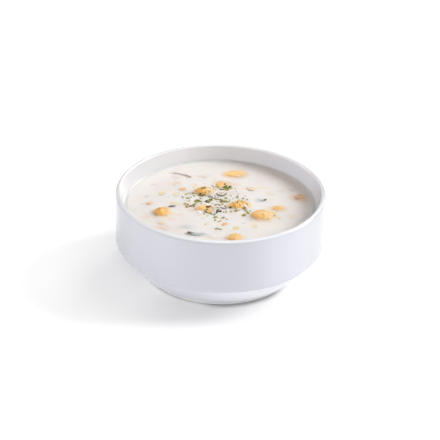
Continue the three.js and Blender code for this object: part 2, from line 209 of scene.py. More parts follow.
class Finish:
    """A material under construction. node() adds a node and gives one of its outputs as a Wire."""

    def __init__(self, name):
        self.material = bpy.data.materials.new(name)
        self.material.use_nodes = True
        self.tree = self.material.node_tree
        self.tree.nodes.clear()

    def node(self, kind, settings=None, inputs=None, output=0):
        """Adds a node, with its settings first and then the values or links of its sockets."""
        made = self.tree.nodes.new(kind)
        for key_name, value in (settings or {}).items():
            setattr(made, key_name, value)
        for slot_name, value in (inputs or {}).items():
            socket = made.inputs[slot_name]
            if isinstance(value, Wire):
                self.tree.links.new(value.socket, socket)
            else:
                socket.default_value = value
        return Wire(self, made.outputs[output]) if made.outputs else None

    def place(self):
        """The point of the surface in the piece's own metres."""
        return self.node("ShaderNodeTexCoord", output="Object")

    def along(self, axis):
        """One coordinate of the surface in millimetres: 0 for x, 1 for y, 2 for z."""
        return self.node("ShaderNodeSeparateXYZ", inputs={0: self.place()}, output=axis) / MM

    def from_axis(self):
        """How far the surface is from the upright axis of the bowl, in millimetres."""
        x, y = self.along(0), self.along(1)
        square = x * x + y * y
        return square.math("SQRT", square)

    def facing(self, side):
        """1 on the side of the axis that lies at an angle from +X, 0 across it and -1 opposite."""
        across = self.along(0) * math.cos(side) + self.along(1) * math.sin(side)
        return across / self.from_axis()

    def grain(self, size, detail=2.0, roughness=0.5):
        """A soft random pattern from 0 to 1, whose features are about size millimetres across."""
        values = {"Vector": self.place(), "Scale": 1 / (size * MM), "Detail": detail}
        return self.node("ShaderNodeTexNoise", inputs={**values, "Roughness": roughness})

    def painted(self, name, output="Fac"):
        """A value or colour that was painted on the mesh."""
        return self.node("ShaderNodeAttribute", {"attribute_name": name}, output=output)

    def mixed(self, factor, first, second):
        """A colour that goes from the first to the second as factor goes from 0 to 1."""
        settings = {"data_type": "RGBA", "clamp_factor": True}
        return self.node("ShaderNodeMix", settings, {0: factor, 6: first, 7: second}, output=2)

    def leaning(self, share):
        """The surface's normal, drawn towards straight up by a share from 0 to 1."""
        normal = self.node("ShaderNodeNewGeometry", output=1)
        values = {0: share, 4: normal, 5: (0, 0, 1)}
        drawn = self.node("ShaderNodeMix", {"data_type": "VECTOR"}, values, output=1)
        return self.node("ShaderNodeVectorMath", {"operation": "NORMALIZE"}, {0: drawn})

    def bump(self, height, depth, lean=0.0):
        """A normal that leans, and tilts as if height, from 0 to 1, stood up by depth millimetres."""
        values = {"Height": height, "Distance": depth * MM, "Normal": self.leaning(lean)}
        return self.node("ShaderNodeBump", inputs=values)

    def done(self, **inputs):
        """Ends in one Principled shader. An underscore in a name stands for a space."""
        values = {name.replace("_", " "): value for name, value in inputs.items()}
        shader = self.node("ShaderNodeBsdfPrincipled", inputs=values)
        self.node("ShaderNodeOutputMaterial", inputs={"Surface": shader})
        return self.material


def rgb(red, green, blue):
    """A colour as seen on a screen, 0 to 255, as the linear light that Blender counts in."""
    shares = [c / 255 for c in (red, green, blue)]
    return (*[c / 12.92 if c <= 0.04045 else ((c + 0.055) / 1.055) ** 2.4 for c in shares], 1)


# %% [markdown]
# The floor is a sheet of matt white plastic, far larger than the view, so that no edge shows. A glow
# is painted on it as well, which keeps its shadows pale: none under the foot, less near the dish and
# full farther out. Little light gets in where the foot meets the sheet, so a shade is painted there:
# a thin dark line at the front, a soft fringe in front, a short one at the left, and a faint ring all
# round. The painted shade also dims the glow there and greys the sheet.

# %% Floor sizes and shades
# Distances from the axis are in millimetres, and the reach of the floor in metres.
FLOOR_REACH = 6
FLOOR_GLOW = 0.54
NEAR_GLOW = 0.62
GLOW_FROM = 42
GLOW_FULL = 46
FAR_FROM = 52
FAR_FULL = 105
FOOT_EDGE = 42.5
RING_REACH = 44.5
RING_SHADE = 0.3
GLOW_LOST = 0.88
SHADE_GREY_SHARE = 0.6
# Each shade by the foot: the side where it is darkest, in degrees anticlockwise from +X, between
# which turns towards that side it comes in, how far from the axis it ends, in millimetres, and how
# dark it is.
FOOT_SHADES = {
    "line": (290, 0.8, 0.98, 48.5, 0.7),
    "front": (285, 0.35, 0.95, 92, 0.42),
    "left": (200, 0.5, 1.0, 66, 0.26),
}


# %% From a bmesh to an object
def obj_from(bm, name, material):
    """Ends a bmesh as an object with smooth faces at the origin."""
    for face in bm.faces:
        face.smooth = True
    mesh = bpy.data.meshes.new(name)
    bm.to_mesh(mesh)
    bm.free()
    mesh.materials.append(material)
    made = bpy.data.objects.new(name, mesh)
    bpy.context.scene.collection.objects.link(made)
    return made


# %% Floor finish
def sweep_finish():
    """Matt white with a painted glow, and painted shade by the foot of the dish."""
    sweep = Finish("white_sweep")
    from_axis = sweep.from_axis()
    near = from_axis.rise(GLOW_FROM, GLOW_FULL)
    share = near * (NEAR_GLOW + (1 - NEAR_GLOW) * from_axis.rise(FAR_FROM, FAR_FULL))
    shade = RING_SHADE * (1 - from_axis.rise(FOOT_EDGE, RING_REACH))
    for side, low, high, reach, dark in FOOT_SHADES.values():
        turned = sweep.facing(math.radians(side)).rise(low, high)
        shade = shade + dark * turned * (1 - from_axis.rise(FOOT_EDGE, reach))
    shade = shade.clamped()
    # The painted glow, dimmed under the painted shade.
    lit = share * (1 - GLOW_LOST * shade)
    return sweep.done(
        # Painted shade greys the sheet by the foot.
        Base_Color=sweep.mixed(SHADE_GREY_SHARE * shade, rgb(228, 228, 228), rgb(120, 120, 122)),
        Roughness=0.9,
        Specular_IOR_Level=0.1,
        Emission_Color=sweep.mixed(lit, (0, 0, 0, 1), (1, 1, 1, 1)),
        Emission_Strength=FLOOR_GLOW,
    )


sheet = bmesh.new()
bmesh.ops.create_grid(sheet, x_segments=1, y_segments=1, size=FLOOR_REACH)
floor = obj_from(sheet, "floor", sweep_finish())

# %% [markdown]
# ## The bowl
#
# Such a bowl is formed on a turning mould, from one profile: up the outside from the middle of the
# recess under the foot, over the lip and down the inside to the middle of the floor. Spin does the
# same thing here. The Screw modifier could turn it too, but a spun mesh is plain geometry at once,
# with its doubles merged where the turn closes.

# %% Profile helpers
def arc(middle, radius, start, end, steps):
    """Points of a round corner about its middle, from one angle in degrees to another."""
    wide, tall = radius if isinstance(radius, tuple) else (radius, radius)
    angles = [math.radians(start + (end - start) * i / steps) for i in range(steps + 1)]
    return [(middle[0] + wide * math.cos(a), middle[1] + tall * math.sin(a)) for a in angles]


def curve(handles, steps):
    """Points of a Bezier curve with any number of handles."""
    points = []
    for i in range(steps + 1):
        t = i / steps
        row = [Vector(h) for h in handles]
        while len(row) > 1:
            row = [a.lerp(b, t) for a, b in zip(row, row[1:])]
        points.append(tuple(row[0]))
    return points


def line(start, end, steps):
    """Evenly spaced points from start to end."""
    return curve([start, end], steps)


def spun(profile, steps):
    """A closed shell: the profile of radius and height, in millimetres, turned round the Z axis."""
    bm = bmesh.new()
    corners = [bm.verts.new((r * MM, 0, z * MM)) for r, z in profile]
    edges = [bm.edges.new(pair) for pair in zip(corners, corners[1:])]
    bmesh.ops.spin(
        bm, geom=corners + edges, cent=(0, 0, 0), axis=(0, 0, 1), angle=2 * math.pi,
        steps=steps, use_merge=True,
    )
    bmesh.ops.remove_doubles(bm, verts=bm.verts, dist=0.001 * MM)
    bmesh.ops.recalc_face_normals(bm, faces=bm.faces)
    return bm


# %% Bowl profile
# All in millimetres. A point of the profile is its distance from the axis and its height.
LIP_ROUND = 1.8
LIP_INNER_ROUND = 1.0
LIP_MIDDLE = RIM_RADIUS - LIP_ROUND
STEP_RADIUS = 56.8
STEP_HEIGHT = 16.5
LEDGE_WIDTH = 1.0
CREASE_ROUND = 0.15
EDGE_ROUND = 0.3
BAND_BOTTOM = 20.2
FOOT_RADIUS = 43
FOOT_HEIGHT = 1.3
FOOT_ROUND = 0.5
BODY_RADIUS = 43.9
RECESS_RADIUS = 37.2
RECESS_HEIGHT = 2.2
SOUP_EDGE_RADIUS = 54.5
HOLLOW_FLOOR = 6.4
HOLLOW_CURVE = [(54.6, 28), (53.2, 12), (44, HOLLOW_FLOOR), (26, HOLLOW_FLOOR)]
BOWL_STEPS = 256

foot = [
    *line((0, RECESS_HEIGHT), (RECESS_RADIUS, RECESS_HEIGHT), 4),
    *curve([(37.6, RECESS_HEIGHT), (37.9, 2.0), (39.0, 0.2), (39.4, 0)], 4),
    (FOOT_RADIUS - FOOT_ROUND, 0),
    *arc((FOOT_RADIUS - FOOT_ROUND, FOOT_ROUND), FOOT_ROUND, -90, 0, 4)[1:],
    *curve([(FOOT_RADIUS, 0.6), (43.2, 1.0), (BODY_RADIUS, FOOT_HEIGHT)], 4)[1:],
]
crease = STEP_RADIUS - LEDGE_WIDTH
body = curve([(BODY_RADIUS, FOOT_HEIGHT), (53.6, 9.0), (crease, STEP_HEIGHT - EDGE_ROUND)], 18)[1:]
step = [
    *arc((crease + CREASE_ROUND, STEP_HEIGHT - CREASE_ROUND), CREASE_ROUND, 180, 90, 3)[1:],
    (STEP_RADIUS - EDGE_ROUND, STEP_HEIGHT),
    *arc((STEP_RADIUS - EDGE_ROUND, STEP_HEIGHT + EDGE_ROUND), EDGE_ROUND, -90, -30, 3)[1:],
]
shoulder_size = (RIM_RADIUS - STEP_RADIUS, BAND_BOTTOM - STEP_HEIGHT)
shoulder = arc((STEP_RADIUS, BAND_BOTTOM), shoulder_size, -76, 0, 12)
band = line((RIM_RADIUS, BAND_BOTTOM), (RIM_RADIUS, BOWL_HEIGHT - LIP_ROUND), 8)[1:]
lip = [
    *arc((LIP_MIDDLE, BOWL_HEIGHT - LIP_ROUND), LIP_ROUND, 0, 90, 10)[1:],
    *arc((LIP_MIDDLE, BOWL_HEIGHT - LIP_INNER_ROUND), LIP_INNER_ROUND, 90, 180, 8)[1:],
]
wall = line(lip[-1], (SOUP_EDGE_RADIUS, SOUP_LEVEL), 8)[1:]
hollow = [
    *line((SOUP_EDGE_RADIUS, SOUP_LEVEL), HOLLOW_CURVE[0], 4)[1:],
    *curve(HOLLOW_CURVE, 14)[1:],
    *line(HOLLOW_CURVE[-1], (0, HOLLOW_FLOOR), 3)[1:],
]
bowl_mesh = spun([*foot, *body, *step, *shoulder, *band, *lip, *wall, *hollow], BOWL_STEPS)
print("bowl:", len(bowl_mesh.faces), "faces")

# %% [markdown]
# Porcelain is a white body under a clear, hard glaze, nearly neutral with a hint of blue. The glaze
# lies a little unevenly, so its reflections waver slightly. The white isn't one colour, because light
# and shade are painted into it: painted shade makes the band greyest, most at its sides, painted light
# makes the body under it lighter and the foot and the lip whitest, and painted shade darkens the body,
# the foot and the outer lip on the window side and greys the inner lip and the inside at the left.
# The inside is bluer at the right. The foot ring was wiped clean of glaze before firing, so that the
# bowl didn't stick to the kiln shelf: that ring is rougher and greyer.

# %% Bowl whites
def outside_white_painted_light_and_shade(glaze, height, across):
    """The band, and under its step the body and the foot, from the left to the window side, with painted
    light and shade.
    """
    spread = across * across / RIM_RADIUS
    # Painted shade: the band is greyer at the middle front and greyest at its sides.
    middle = glaze.mixed(glaze.grain(22, detail=1.0), rgb(189, 189, 198), rgb(191, 191, 200))
    front = glaze.mixed(spread.rise(0, 16), middle, rgb(196, 196, 205))
    side = glaze.mixed(across.rise(0, 40), rgb(178, 178, 186), rgb(178, 178, 181))
    band_white = glaze.mixed(spread.rise(34, 62), front, side)
    # Painted light makes the body under the step lighter towards the window, and painted shade darkens it
    # again at the window side.
    body_white = glaze.mixed(across.rise(-20, 30), rgb(203, 203, 212), rgb(225, 225, 232))
    body_white = glaze.mixed(across.rise(38, 54), body_white, rgb(196, 196, 203))
    # Painted light makes the foot nearly pure white, with painted shade on the window side.
    foot_white = glaze.mixed(across.rise(26, 43), rgb(254, 254, 255), rgb(212, 212, 218))
    under = glaze.mixed(height.rise(1, 5), foot_white, body_white)
    return glaze.mixed(height.rise(STEP_HEIGHT - 1, STEP_HEIGHT + 1), under, band_white)


def inside_white_painted_shade(glaze, across):
    """The wall above the soup, with painted shade at the left."""
    # Painted shade greys the inside at the left, which faces the window; the right is a touch bluer.
    left = glaze.mixed(across.rise(-56, -20), rgb(204, 204, 205), rgb(220, 218, 218))
    return glaze.mixed(across.rise(0, 50), left, rgb(221, 219, 226))


def lip_white_painted_light_and_shade(glaze, across, from_axis):
    """The lip, inside and outside its middle, with painted light and shade."""
    # Painted light whitens the lip, and painted shade darkens its inside at the left and its outside at the
    # window side.
    inner = glaze.mixed(across.rise(-50, 0), rgb(224, 224, 227), rgb(253, 253, 255))
    outer = glaze.mixed(across.rise(-20, 36), rgb(252, 252, 255), rgb(232, 232, 238))
    outer = glaze.mixed(across.rise(34, 54), outer, rgb(206, 206, 212))
    return glaze.mixed(from_axis.rise(57.6, 59.2), inner, outer)


# %% Bowl finish
def glaze_finish():
    """Glazed porcelain, bare under the foot ring."""
    glaze = Finish("bowl_glaze")
    across = glaze.along(0)
    height = glaze.along(2)
    from_axis = glaze.from_axis()
    within = height.rise(27, 29) * (1 - from_axis.rise(57.2, 57.9))
    crown = height.rise(48.6, 49.7)
    sides = glaze.mixed(within, outside_white_painted_light_and_shade(glaze, height, across), inside_white_painted_shade(glaze, across))
    white = glaze.mixed(crown, sides, lip_white_painted_light_and_shade(glaze, across, from_axis))
    bare = 1 - height.rise(0.05, 0.35)
    speck = glaze.grain(0.7, detail=3.0)
    biscuit = glaze.mixed(speck, rgb(205, 201, 194), rgb(219, 216, 210))
    waver = glaze.grain(9, detail=1.0)
    lean = 0.1 + 0.45 * crown * across.rise(50, 58)
    return glaze.done(
        Base_Color=glaze.mixed(bare, white, biscuit),
        Roughness=0.16 + bare * 0.5,
        Coat_Weight=0.35 * (1 - bare),
        Coat_Roughness=0.06,
        Normal=glaze.bump(waver + bare * speck, 0.03, lean=lean),
    )


bowl = obj_from(bowl_mesh, "porcelain_bowl", glaze_finish())
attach(bowl, "root")
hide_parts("bowl")

# %% [markdown]
# ## Chickpeas
#
# A cooked chickpea is a round seed with a beak where its root would start, a furrow between its two
# halves, and shallow dents from boiling. An icosphere is a good start, because its faces are alike
# all over: each vertex is pushed in or out by a rule of its direction. The same rule and the same
# seeded dents as in the plain solid keep the form. Fine wrinkles of the skin are added.

# %% Chickpea places
# Each row: middle x and y, length, width and height, how far it shows above the soup, in
# millimetres, where its beak points, in degrees, how orange it is and how much soup clings to its
# crown, from 0 to 1.
CHICKPEAS = {
    "chickpea_back": ((8.6, 36.9), (13.8, 9.4, 6.4), 1.8, 186, 0.45, 0.1),
    "chickpea_left": ((-32.9, -12.2), (10.6, 10, 10), 3.1, 172, 0.66, 0.1),
    "chickpea_right": ((24.3, -13.4), (14, 11, 10.4), 3.5, 164, 0.4, 0.5),
    "chickpea_half": ((32.9, -3.6), (9.2, 6.4, 6), 1.1, 176, 0.6, 0.1),
    "chickpea_front": ((8.8, -39.6), (9.6, 8.8, 8.4), 2.6, 200, 0.45, 0.1),
    "chickpea_inner_right": ((11, -1.4), (13.4, 9.2, 9), 2.8, 190, 0.55, 0.35),
    "chickpea_inner_left": ((-9.6, 14.5), (12, 8.8, 8.8), 2.7, 188, 0.66, 0.4),
    "chickpea_inner_front": ((-8.5, -5.5), (11, 7.6, 8), 2.1, 20, 0.4, 0.35),
    "chickpea_inner_back": ((0.9, 23.6), (10.4, 8.2, 8.4), 1.4, 15, 0.6, 0.5),
    "chickpea_shaded": ((45.4, 9.6), (10.8, 8.8, 9), 1.6, 178, 1.0, 0.9),
}
print("chickpeas to make:", ", ".join(CHICKPEAS))

# %% [markdown]
# The plain solids drew their dents from a small generator of numbers, so the same sum is done here
# with the same seeds. A soft step and a soft hump follow, which most of the later shapes and colours
# use.

# %% Seeded numbers and soft steps
LOW_BITS = 0xFFFFFFFF


def seeded(seed):
    """Repeatable numbers from 0 to 1, drawn as for the plain solids."""
    state = seed
    while True:
        state = (state + 0x6D2B79F5) & LOW_BITS
        mixed = ((state ^ (state >> 15)) * (state | 1)) & LOW_BITS
        mixed ^= (mixed + (mixed ^ (mixed >> 7)) * (mixed | 61)) & LOW_BITS
        yield (mixed ^ (mixed >> 14)) / (LOW_BITS + 1)


def bell(draws):
    """A number round 0 in a bell curve of spread 1."""
    return math.sqrt(-2 * math.log(1 - next(draws))) * math.cos(2 * math.pi * next(draws))


def smooth(value, low, high):
    """0 below low, 1 above high, and a smooth step between them."""
    t = min(1, max(0, (value - low) / (high - low)))
    return t * t * (3 - 2 * t)


def hump(distance, width):
    """1 at no distance, falling off smoothly over width."""
    return math.exp(-((distance / width) ** 2))


# %% Chickpea shape
BEAK = Vector((1, 0, 0.3)).normalized()
BEAK_SIZE = 0.24
BEAK_WIDTH = 0.42
BEAK_BLUSH = 0.75
FURROW_DEPTH = 0.11
FURROW_WIDTH = 0.17
DENTS = 7
DENT_DEPTH = 0.11
LUMP_DEPTH = 0.05
WRINKLE_DEPTH = 0.03
FOLD_DEPTH = 0.05
FOLD_WIDTH = 0.08


def paint(obj, name, values):
    """Stores one number for each vertex, for a material to read."""
    layer = obj.data.attributes.new(name, "FLOAT", "POINT")
    layer.data.foreach_set("value", values)


def box_of(bm):
    """The lowest and highest corner of a bmesh."""
    low = Vector([min(v.co[i] for v in bm.verts) for i in range(3)])
    high = Vector([max(v.co[i] for v in bm.verts) for i in range(3)])
    return low, high


def chickpea_mesh(at, size, rise, heading, seed):
    """A chickpea where it floats, and how near its beak and its furrow each vertex is."""
    draws = seeded(seed)
    dents = []
    for _ in range(DENTS):
        middle = Vector([bell(draws) for _ in range(3)]).normalized()
        dents.append((middle, DENT_DEPTH * (next(draws) - 0.4), 0.35 + 0.25 * next(draws)))
    bm = bmesh.new()
    bmesh.ops.create_icosphere(bm, subdivisions=5, radius=1)
    near_beak = []
    in_furrow = []
    for vertex in bm.verts:
        way = vertex.co.normalized()
        radius = 1 + BEAK_SIZE * hump(way.angle(BEAK), BEAK_WIDTH)
        on_back = smooth(way.x + 0.6 * way.z, -0.5, 0.5)
        radius -= FURROW_DEPTH * on_back * hump(way.y, FURROW_WIDTH)
        radius -= sum(depth * hump(way.angle(middle), spread) for middle, depth, spread in dents)
        lump = noise.noise(way * 2.4 + Vector((0, 9 * seed, 0)))
        wrinkle = noise.noise(way * 5.5 + Vector((0, 0, 7 * seed)))
        fold = abs(noise.noise(way * 2.6 + Vector((5 * seed, 0, 0))))
        radius += LUMP_DEPTH * lump + WRINKLE_DEPTH * wrinkle - FOLD_DEPTH * hump(fold, FOLD_WIDTH)
        near_beak.append(hump(way.angle(BEAK), BEAK_BLUSH))
        in_furrow.append(on_back * hump(way.y, FURROW_WIDTH))
        vertex.co = way * radius
    low, high = box_of(bm)
    stretch = [side / span for side, span in zip(size, high - low)]
    place = Matrix.Translation(Vector((*at, SOUP_LEVEL + rise - size[2] / 2)))
    turned = Matrix.Rotation(math.radians(heading), 4, "Z")
    fitted = Matrix.Diagonal((*stretch, 1)) @ Matrix.Translation(-(low + high) / 2)
    bmesh.ops.transform(bm, matrix=Matrix.Scale(MM, 4) @ place @ turned @ fitted, verts=bm.verts)
    return bm, near_beak, in_furrow


# %% [markdown]
# The skin is golden, pale on the crown, and deeper orange at the beak; painted shade makes it deeper
# orange on the side away from the window as well. A film of soup hides it where it dips under the
# surface. Light that soaks in at the window side comes out at the far side, warmer. Scattering alone
# turns so small a body dull, so a painted glow lights the far side faintly, except on the browner one
# that lies in the wall's shadow. How ripe the skin is, with that painted shade, how much soup covers
# it and where the painted glow lies are painted on the vertices, because they follow the seed and the
# soup's level, and the material turns them into colours.

# %% Chickpea finish
SOUP_CREAM = rgb(247, 241, 236)
PEA_HALO = rgb(250, 218, 176)
PAINTED_GLOW_STRENGTH = 0.35
# The film of soup reaches higher towards FILM_SIDE. LEE_SIDE points away from the window.
FILM_SIDE = Vector((0.8, 0.4, 0))
FILM_REACH = 5
FILM_TILT = 0.35
FILM_MOST = 0.95
CLING_MOST = 0.75
# On LEE_SIDE the skin gets painted shade, a deeper orange, and a painted glow.
LEE_SIDE = Vector((-0.6, -0.8, 0))
LEE_PAINTED_SHADE = 0.25
LEE_PAINTED_GLOW = 0.3
BEAK_RIPE = 0.1


def chickpea_finish():
    """The skin of a cooked chickpea, from what is painted on it."""
    skin = Finish("chickpea_skin")
    ripe = skin.painted("ripe")
    film = skin.painted("film")
    through = skin.painted("through")
    mottle = skin.grain(2.4, detail=3.0)
    tone = (ripe + mottle * 0.5 - 0.25).clamped()
    pale = skin.mixed(tone.rise(0.0, 0.4), rgb(255, 224, 178), rgb(255, 211, 148))
    deep = skin.mixed(tone.rise(0.35, 0.75), pale, rgb(253, 188, 102))
    brown = skin.mixed(tone.rise(0.75, 1.0), deep, rgb(200, 166, 150))
    # The colour of the painted glow: warm orange, and none on a brown chickpea.
    pea_painted_glow = skin.mixed(tone.rise(0.75, 1.0), rgb(255, 192, 118), (0, 0, 0, 1))
    wrinkles = skin.grain(1.1, detail=3.0)
    return skin.done(
        Base_Color=skin.mixed(film, brown, PEA_HALO),
        Roughness=0.42 + 0.2 * wrinkles,
        Normal=skin.bump(wrinkles, 0.12, lean=0.75),
        # The painted glow, fainter under the film.
        Emission_Color=skin.mixed(through * (1 - 0.6 * film), (0, 0, 0, 1), pea_painted_glow),
        Emission_Strength=PAINTED_GLOW_STRENGTH,
        Subsurface_Weight=0.4,
        Subsurface_Radius=(1.0, 0.8, 0.6),
        Subsurface_Scale=1.2 * MM,
    )


def film_at(point, middle, rise, messy, in_furrow):
    """How thickly soup covers a chickpea at a point, from 0 to 1."""
    above = point.z / MM - SOUP_LEVEL
    behind = (point - middle).dot(FILM_SIDE) / (FILM_REACH * MM)
    ragged = 0.4 * noise.noise(point / (1.8 * MM)) + 0.25 * noise.noise(point / (0.7 * MM))
    wet = 1 - smooth(above + ragged - FILM_TILT * rise * behind, 0, min(1.9, 0.9 * rise))
    clinging = messy * smooth(noise.noise(point / (1.3 * MM)) + 0.5 * in_furrow, 0.1, 0.5)
    return max(FILM_MOST * wet, CLING_MOST * clinging)


# %% Chickpeas
chickpea_skin = chickpea_finish()
floating = {}
for number, (name, row) in enumerate(CHICKPEAS.items(), start=1):
    at, size, rise, heading, orange, messy = row
    shape, near_beak, in_furrow = chickpea_mesh(at, size, rise, heading, number)
    floating[name] = BVHTree.FromBMesh(shape)
    middle = Vector((*at, SOUP_LEVEL)) * MM
    film = [film_at(v.co, middle, rise, messy, f) for v, f in zip(shape.verts, in_furrow)]
    lee = [(v.co - middle).dot(LEE_SIDE) / MM for v in shape.verts]
    pea = obj_from(shape, name + "_seed", chickpea_skin)
    # The orange of each seed, deeper at the beak, plus painted shade on the side away from the window.
    ripe = [orange - BEAK_RIPE * (1 - b) + LEE_PAINTED_SHADE * smooth(d, 1, 4.5) for b, d in zip(near_beak, lee)]
    paint(pea, "ripe", ripe)
    paint(pea, "film", film)
    # Where the painted glow lies: the side away from the window.
    paint(pea, "through", [smooth(d / size[0], 0, LEE_PAINTED_GLOW) for d in lee])
    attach(pea, "root")
    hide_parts(name)
print("chickpeas:", len(floating))

# %% [markdown]
# ## The soup
#
# The soup fills the hollow. Its skin is nearly level, climbs the wall and every chickpea by less
# than a millimetre, and swells over what lies just under it. It is spun like the bowl, with many
# rings in its top, and then each vertex of the top is raised by a rule. What is wholly sunk shows
# only as a tint, soft at its edge, so it is painted on the same vertices.

# %% Soup body
SOUP_STEPS = 400
SOUP_RINGS = 104
EDGE_RINGS = 20
EDGE_FROM = 52
INTO_WALL = 0.5
FARTHEST = 9.0

edge = SOUP_EDGE_RADIUS + INTO_WALL
soup_side = [(r + INTO_WALL, z - INTO_WALL / 2) for r, z in curve(HOLLOW_CURVE[::-1], 10)]
soup_body = [
    *line((0, HOLLOW_FLOOR - INTO_WALL), (HOLLOW_CURVE[-1][0], HOLLOW_FLOOR - INTO_WALL), 2),
    *soup_side[1:],
    (edge, SOUP_LEVEL - 3),
]
soup_top = [
    *line((edge, SOUP_LEVEL), (EDGE_FROM, SOUP_LEVEL), EDGE_RINGS),
    *line((EDGE_FROM, SOUP_LEVEL), (0, SOUP_LEVEL), SOUP_RINGS)[1:],
]
soup_mesh = spun([*soup_body, *soup_top], SOUP_STEPS)
top = [v for v in soup_mesh.verts if v.co.z > (SOUP_LEVEL - 0.1) * MM]


def clearance(point):
    """How far the nearest chickpea is, 0 inside it, and how high it stands, in millimetres."""
    nearest = FARTHEST
    height = 0.0
    for name, tree in floating.items():
        spot, normal, _, distance = tree.find_nearest(point, nearest * MM)
        if spot is not None:
            inside = (point - spot).dot(normal) < 0
            nearest = 0.0 if inside else min(nearest, distance / MM)
            height = CHICKPEAS[name][2]
    return nearest, height


clear = {vertex.index: clearance(vertex.co) for vertex in top}
print("soup top:", len(clear), "vertices")

# %% [markdown]
# Each sunk piece is a soft spot: where it is in the picture, in pixels, how wide and deep it is in
# millimetres, its colour, and how strongly it shows. A few spots are painted light and shade instead:
# the white ones are curds and painted glints, and one rose spot is painted shade under the pinch. The
# point where the camera's ray meets the soup's level gives its place.

# %% Sunk pieces, painted glints and shade
TINTS = {
    "peach": rgb(240, 196, 158),
    "orange": rgb(238, 172, 92),
    "yellow": rgb(242, 206, 132),
    "grey": rgb(160, 164, 162),
    "blue_grey": rgb(176, 186, 190),
    "rose": rgb(232, 206, 192),
    "white": rgb(252, 251, 249),
}
SUNK_AND_PAINTED_SPOTS = [
    (182.3, 188.8, 2.4, 1.9, "orange", 0.55), (194.9, 185.2, 1.8, 1.9, "yellow", 0.45),
    (177.3, 182.8, 2.2, 1.9, "peach", 0.55), (175.2, 177.0, 2.8, 2.8, "rose", 0.5),
    (162.0, 193.2, 1.8, 2.2, "yellow", 0.7), (176.6, 193.6, 1.8, 2.2, "yellow", 0.45),
    (149.8, 202.7, 2.6, 1.8, "orange", 0.5), (171.2, 202.7, 2.2, 2.2, "yellow", 0.4),
    (160.9, 222.6, 1.8, 2.2, "yellow", 0.55), (161.5, 227.5, 5.5, 2.4, "peach", 0.5),
    (146.0, 217.0, 3.2, 3.4, "peach", 0.3), (171.2, 218.8, 3.0, 2.0, "peach", 0.4),
    (179.0, 214.4, 3.6, 1.4, "peach", 0.35), (200.3, 214.6, 3.4, 2.0, "peach", 0.35),
    (203.3, 218.2, 1.6, 1.6, "rose", 0.5), (207.2, 222.6, 1.4, 1.6, "yellow", 0.4),
    (209.5, 237.8, 2.2, 1.6, "yellow", 0.35), (201.8, 176.0, 4.4, 1.4, "peach", 0.4),
    (132.4, 200.4, 1.8, 1.8, "peach", 0.25), (186.0, 226.8, 4.6, 2.4, "blue_grey", 0.5),
    (197.0, 233.6, 3.6, 1.6, "grey", 0.75), (201.5, 234.6, 3.6, 1.8, "blue_grey", 0.65),
    (258.6, 199.9, 2.6, 2.2, "blue_grey", 0.75), (146.7, 196.1, 1.6, 1.4, "grey", 0.5),
    (153.6, 184.3, 2.2, 1.4, "grey", 0.3), (143.0, 203.6, 1.8, 1.2, "grey", 0.3),
    (173.0, 172.8, 2.4, 1.0, "grey", 0.5), (243.5, 222.6, 1.6, 1.2, "grey", 0.3),
    (249.8, 188.5, 2.6, 2.0, "yellow", 0.7), (259.0, 187.4, 4.4, 1.6, "yellow", 0.4),
    (269.2, 193.2, 2.6, 2.6, "yellow", 0.3), (281.7, 190.8, 2.2, 1.6, "peach", 0.35),
    (291.4, 215.6, 2.0, 1.9, "yellow", 0.3), (251.2, 220.0, 2.6, 2.4, "rose", 0.5),
    (254.1, 225.9, 1.8, 1.9, "yellow", 0.4), (290.9, 190.3, 2.0, 1.8, "grey", 0.5),
    (234.0, 184.0, 4.0, 2.4, "peach", 0.35), (222.0, 181.5, 4.4, 2.2, "peach", 0.5),
    (188.0, 205.0, 4.6, 3.0, "peach", 0.35), (196.0, 210.2, 5.0, 2.4, "peach", 0.5),
    # Here the white spot is a painted glint, and the rose spot beside it is painted shade under the pinch.
    (168.6, 197.0, 0.7, 1.0, "white", 0.9), (232.0, 193.0, 4.0, 4.4, "rose", 0.4),
    # The white spots here are curds with painted glints.
    (213.9, 185.7, 1.4, 1.8, "white", 0.9), (195.2, 197.3, 1.2, 1.0, "white", 0.8),
    (198.8, 212.1, 2.2, 2.0, "white", 0.9), (228.2, 210.3, 2.6, 1.2, "white", 0.7),
    (226.0, 216.5, 2.8, 1.6, "white", 0.7), (190.5, 199.3, 1.2, 0.9, "white", 0.7),
]


def on_level(x, y):
    """Where the ray through a point of the picture meets the soup's level."""
    way = sight(x, y)
    return camera_place + way * ((SOUP_LEVEL * MM - camera_place.z) / way.z)


spots = []
for x, y, wide, deep, tint, share in SUNK_AND_PAINTED_SPOTS:
    spots.append((on_level(x, y), wide * MM, deep * MM, TINTS[tint], share))
print("sunk pieces:", len(spots))

# %% [markdown]
# The skin's colour starts as cream. The sunk pieces tint it, each chickpea warms it all round, and it
# is cooler by the wall. Painted shade greys it by the wall at the left, and makes it darker and warmer
# in the crescent of shadow at the back right; painted glints and a spot of painted shade lie among
# the sunk pieces. Its height has the same causes: it swells over sunk pieces and climbs chickpeas and
# wall, but hardly climbs the wall at the left front, where the picture shows no bright edge.

# %% Soup skin
MENISCUS_RISE = 0.62
MENISCUS_REACH = 0.5
CALM_SHARE = 0.8
# The open skin lies SKIN_DROP under the level, and CLIMB is a share of the height that a chickpea
# stands out of the soup.
SKIN_DROP = 0.2
CLIMB = 0.28
CLIMB_REACH = 1.3
SWELL = 0.1
SPOT_SWELL = 0.12
HALO_SHARE = 0.85
HALO_REACH = 1.4
WALL_REACH = 4.0
# The cream by the wall is cooler; the next two are painted shade, greyer by the wall at the left, and darker
# and warmer in the crescent of shadow.
WALL_CREAM = rgb(244, 242, 239)
LEFT_SHADE_CREAM = rgb(238, 237, 233)
SHADY_CREAM = rgb(230, 208, 192)
SHADY_SIDE = math.radians(38)


def blend(first, second, share):
    """A colour between two, as plain numbers."""
    return [a + (b - a) * share for a, b in zip(first, second)]


